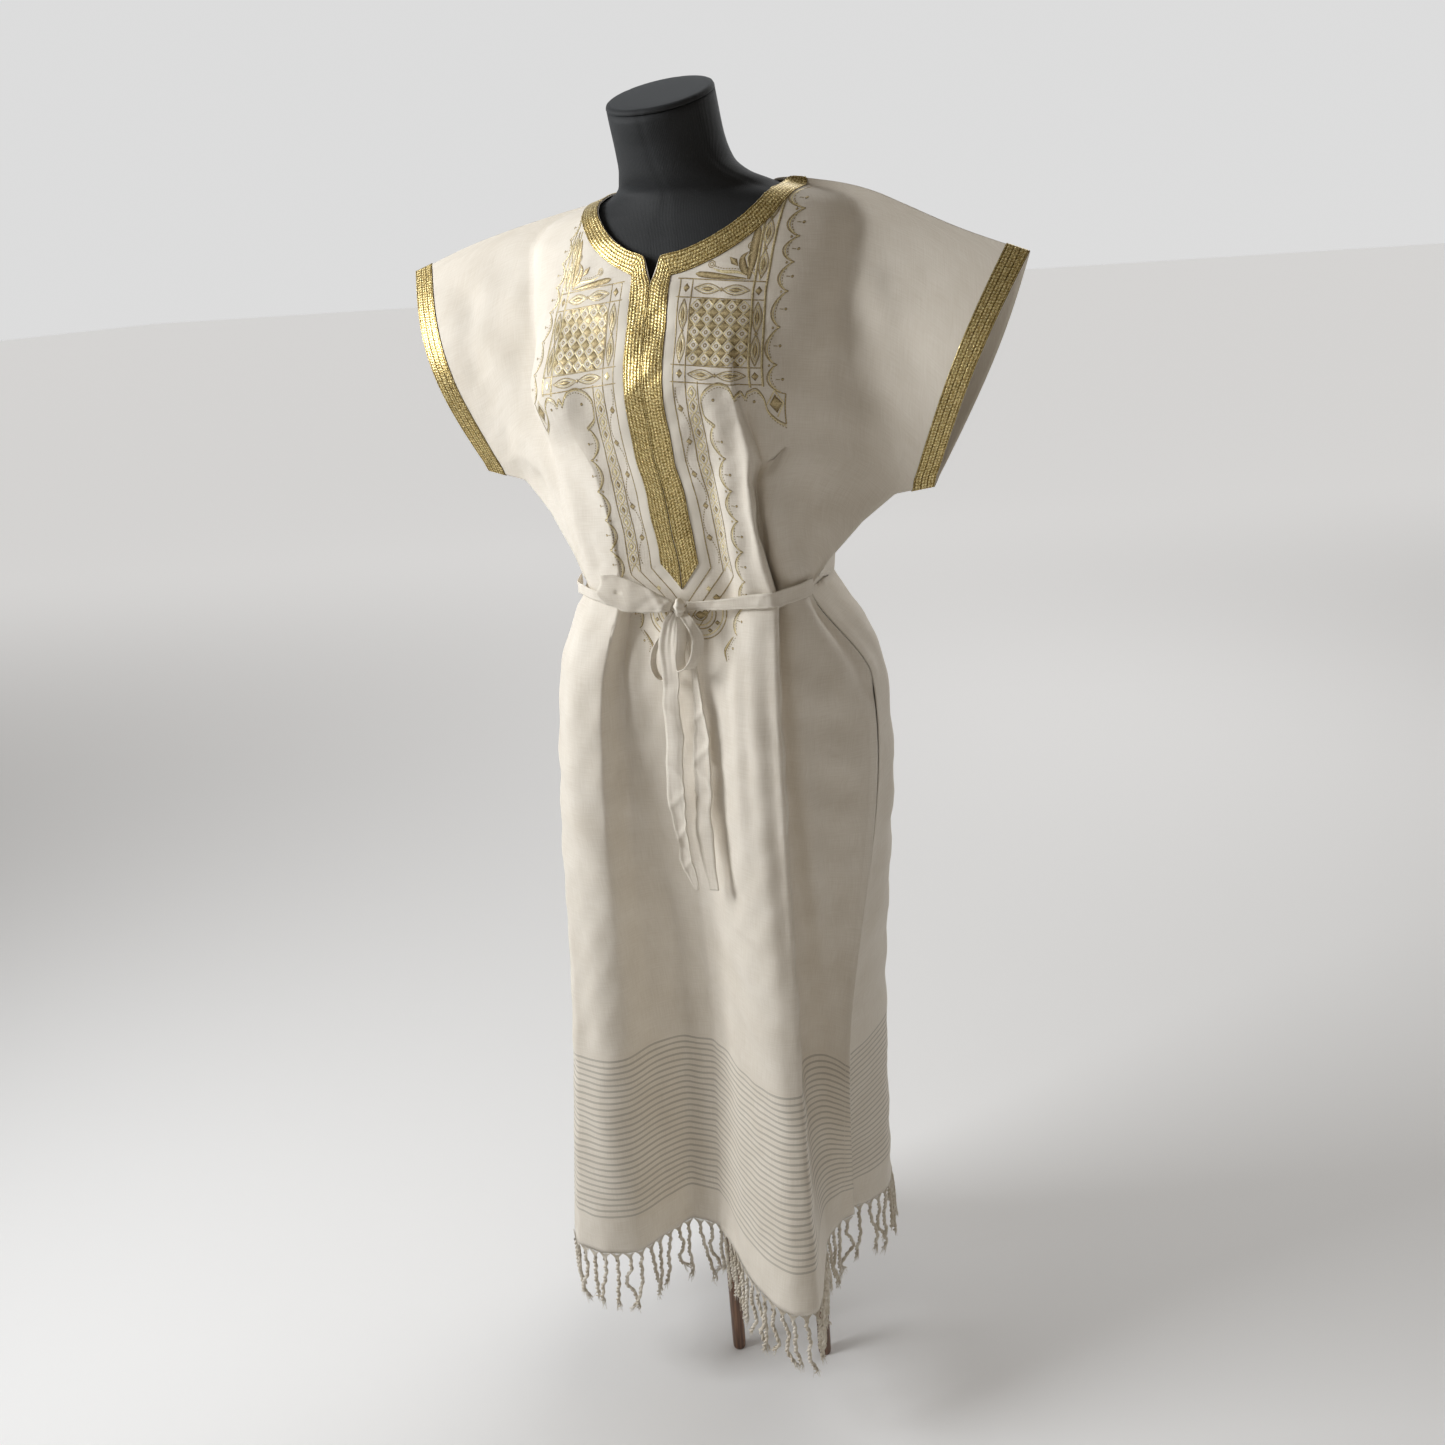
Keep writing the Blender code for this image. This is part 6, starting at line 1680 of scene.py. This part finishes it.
# The ties are taut, so each runs straight from one of the cloth's ridges to the next
hull = []
for point in near_belt:
    while len(hull) > 1:
        a, b = hull[-2], hull[-1]
        if (b[0] - a[0]) * (point[1] - a[1]) - (b[1] - a[1]) * (point[0] - a[0]) > 0:
            break
        hull.pop()
    hull.append(point)
hull = np.array(hull, float) - axis[:2]
for sign, node in ((1, "tie_left"), (-1, "tie_right")):
    seam = hull[-1, 0] if sign > 0 else hull[0, 0]
    x = np.linspace(knot_place[0] + sign * 0.004, seam - sign * 0.0012, 24)
    y = np.interp(x, hull[:, 0], hull[:, 1]) - 0.0016 + 0.0016 * ease_in(1 - np.abs(x - seam) / 0.012)
    share = np.linspace(0, 1, len(x))
    tall = through(tie_table[:, 0], tie_table[:, 1], share)[:, 0] * (1.0 if sign > 0 else 0.68)
    level = through(tie_table[:, 0], tie_table[:, 2], share)[:, 0]
    table = np.stack([x, y, level, tall], -1)
    cloth_strip(node + "_strip", table, (0, 0, -1), tie_crumples, 0.0004, node)
little_crumples = loop_crumples[:2]
cloth_strip(
    "large_loop", large_loop, (0.1, -0.60, -1), loop_crumples, -0.0016, "bow_loop_large", slit=(0.060, 0.02)
)
cloth_strip("small_loop", small_loop, (0.80, 0.55, 0.1), little_crumples, 0.0005, "bow_loop_small")
cloth_strip("side_loop", side_loop, (0.45, 0.85, 0), little_crumples, 0.0004, "bow_loop_side")
cloth_strip(
    "front_tail", front_tail, (1, 0, 0), front_tail_crumples, 0.0020, "tail_front",
    pleated=0.0013,
)
cloth_strip("back_tail", back_tail, (-1, 0.15, 0), back_tail_crumples, -0.0016, "tail_back")

# The knot: one tie wrapped tightly round the other
bm = bmesh.new()
bmesh.ops.create_uvsphere(bm, u_segments=56, v_segments=36, radius=0.5)
for vert in bm.verts:
    x, y, z = vert.co
    wrap = np.cos(2 * np.pi * (2.6 * (x * 0.35 + z * 0.94)))
    pinch = 1 - 0.30 * abs(x) * 2
    grow = 1 + 0.085 * wrap + 0.025 * np.sin(11 * z + 5 * x)
    vert.co = (
        np.sign(x) * abs(2 * x) ** 0.85 / 2 * knot_size[0] * grow + knot_place[0] + axis[0],
        y * knot_size[1] * pinch * grow + knot_place[1] + axis[1],
        z * knot_size[2] * pinch * grow + knot_place[2],
    )
wrapped_knot = finish_mesh("wrapped_knot", bm, cotton)
flat_map(wrapped_knot.data)
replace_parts(wrapped_knot, "knot")

# Stitched hems and seams
# The slits' edges are turned in and stitched 8 mm from the edge, and the front and back are
# topstitched beside the shoulder seams.
slit_down = belt_down + (1 - belt_down) * (belt_z - slit_z) / (belt_z - hem_z)
hem_stitch, hem_stitch_pitch, beside_neck, shoulder_down = 0.0026, 0.0036, 0.026, 0.0035
# Where the rows of stitches beside the slits run, in shares of the panel's width
slit_rows = (0.0145, 0.9855)


def stitch_row(side, across, down):
    """A row of machine stitches over a panel, along places given by across and down."""
    points = panel_point(across, down, side)
    out = np.array((0, -1.0 if side == "front" else 1.0, 0))
    run = run_length(points)
    at = np.arange(0.002, run[-1] - 0.004, hem_stitch_pitch)
    starts, ends = places_at(at, run, points) + axis, places_at(at + hem_stitch, run, points) + axis
    aside = unit(np.cross(ends - starts, out))
    ways = unit(np.cross(aside, ends - starts))
    ways = ways * np.sign(ways @ out)[:, None]
    tree = cloth_trees[0 if side == "front" else 1]
    for start, end, way in zip(starts, ends, ways):
        first, last = (tree.find_nearest(Vector(place + way * 0.004)) for place in (start, end))
        plain.tack(np.array(first[0]), np.array(last[0]), np.array(first[1]))


for side in ("front", "back"):
    down = np.linspace(slit_down, 0.999, 160)
    for across in slit_rows:
        stitch_row(side, np.full_like(down, across), down)
    across = np.linspace(0.0, 1.0, 400)
    top = front_folds if side == "front" else back_folds
    lines = neck_x(through(fold_shares(top), top, across)[:, 0])
    for keep in (lines < -neck_right - beside_neck, lines > neck_left + beside_neck):
        shoulder_row = across[keep][4:-14] if keep[0] else across[keep][14:-4]
        stitch_row(side, shoulder_row, np.full_like(shoulder_row, shoulder_down))
plain.finish()

# Fringe of the hems
# The warp threads that run on below the weave, gathered in bunches and twisted into two-ply
# strands about 80 mm long. Their ends fray.
strand_pitch, strand_long, ply_radius, ply_turn = 0.0155, 0.080, 0.00155, 0.0130
root_long, frayed_from, strand_steps, frayed_threads, root_threads = 0.0085, 0.80, 45, 9, 8
fringe_random = np.random.default_rng(7)


def make_fringe(side, node):
    """Twisted strands under one panel's hem."""
    share = np.linspace(0.004, 0.996, 400)
    hem = panel_point(share, np.ones_like(share), side) + axis
    facing = -1.0 if side == "front" else 1.0
    out = unit(np.cross(np.gradient(hem, axis=0), (0, 0, 1.0)))
    out = out * np.sign(out[:, 1:2].mean() * facing)
    hem = hem + out * 0.0010
    run = run_length(hem)
    count = int(run[-1] / strand_pitch)
    bm = bmesh.new()
    # Neighbours come together in loose clumps of two or three
    clump = np.repeat(np.arange(count), fringe_random.integers(1, 4, count))[:count]
    lean = fringe_random.normal(0, 0.0040, count) + 0.005 * fringe_random.normal(0, 1, count)[clump]
    places = (np.arange(count) + 0.5) * run[-1] / count
    middles = np.array([places[clump == c].mean() if (clump == c).any() else 0 for c in range(count)])
    lean = lean + 0.55 * (middles[clump] - places)
    t = np.linspace(0, 1, strand_steps + 1)
    spread = np.where(t > frayed_from, (t - frayed_from) / (1 - frayed_from), 0)
    for place, pull in zip(places, lean):
        root = places_at(place, run, hem)
        way = unit(places_at(place + 0.003, run, hem) - root)
        normal = unit(np.cross(way, (0, 0, 1.0)))
        long = strand_long * fringe_random.uniform(0.86, 1.10)
        waver = fringe_random.normal(0, 0.0048, 2)
        phase = fringe_random.uniform(0, 2 * np.pi, 2)
        middle = root + (0, 0, -1.0) * (root_long + (long - root_long) * t)[:, None]
        sideways = pull * t**1.3 + waver[0] * np.sin(2.6 * np.pi * t + phase[0]) * t**0.7
        sideways = sideways + 0.0009 * np.sin(9 * np.pi * t + phase[1])
        outward = 0.5 * waver[1] * np.sin(2.1 * np.pi * t + phase[1]) * t
        outward = outward + fringe_random.normal(0, 0.0020) * t
        middle = middle + way * sideways[:, None] + normal * outward[:, None]
        turn = (2 * np.pi * long * t / ply_turn + phase[0])[:, None]
        apart = (ply_radius * (0.85 + 0.9 * spread))[:, None]
        for half in (0, np.pi):
            ply = middle + (way * np.cos(turn + half) + normal * np.sin(turn + half)) * apart
            thick = ply_radius * (1.0 - 0.55 * spread) * (0.92 + 0.08 * np.sin(9 * t + half))
            tube_into(bm, ply, thick, sides=6)
        for _ in range(frayed_threads):
            tip = middle[-1] + way * fringe_random.normal(0, 0.0030)
            tip = tip + normal * fringe_random.normal(0, 0.0018)
            tip = tip - (0, 0, fringe_random.uniform(0.001, 0.010))
            start = middle[int(frayed_from * strand_steps) + 3] + way * fringe_random.normal(0, 0.0006)
            bend = (start + tip) / 2 + way * fringe_random.normal(0, 0.0012)
            thread = curved((start, bend, tip))[::2]
            tube_into(bm, thread, np.linspace(0.00042, 0.00018, len(thread)), sides=3)
        # The warp threads run together from the hem into the strand
        for offset in np.linspace(-0.46, 0.46, root_threads):
            start = places_at(place + offset * run[-1] / count, run, hem) + (0, 0, 0.0006)
            bend = start + (middle[0] - start) * 0.55 + (0, 0, 0.0008)
            thread = np.array((start, bend, middle[1] + way * offset * 0.0016))
            tube_into(bm, thread, (0.00055, 0.00065, 0.00060), sides=4)
    made = finish_mesh(node + "_strands", bm, strand_cotton, outward=True)
    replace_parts(made, node)
    return made


def strand_material():
    """Cream cotton yarn: soft, its tone a little uneven."""
    made, tree, shader, place = new_material("cream_yarn", (0.74, 0.69, 0.60), 0.9, Specular_IOR_Level=0.2)
    fuzz, cloud = noise(tree, place, 1500.0, 3.0), noise(tree, place, 60.0, 2.0)
    tone = ramp(tree, cloud, (0.35, (0.62, 0.56, 0.46)), (0.65, (0.79, 0.745, 0.66)))
    feed(tree, shader.inputs["Base Color"], tone)
    feed(tree, shader.inputs["Normal"], bump(tree, fuzz, 0.0004, 0.8))
    return made


strand_cotton = strand_material()
front_fringe = make_fringe("front", "fringe_front")
back_fringe = make_fringe("back", "fringe_back")
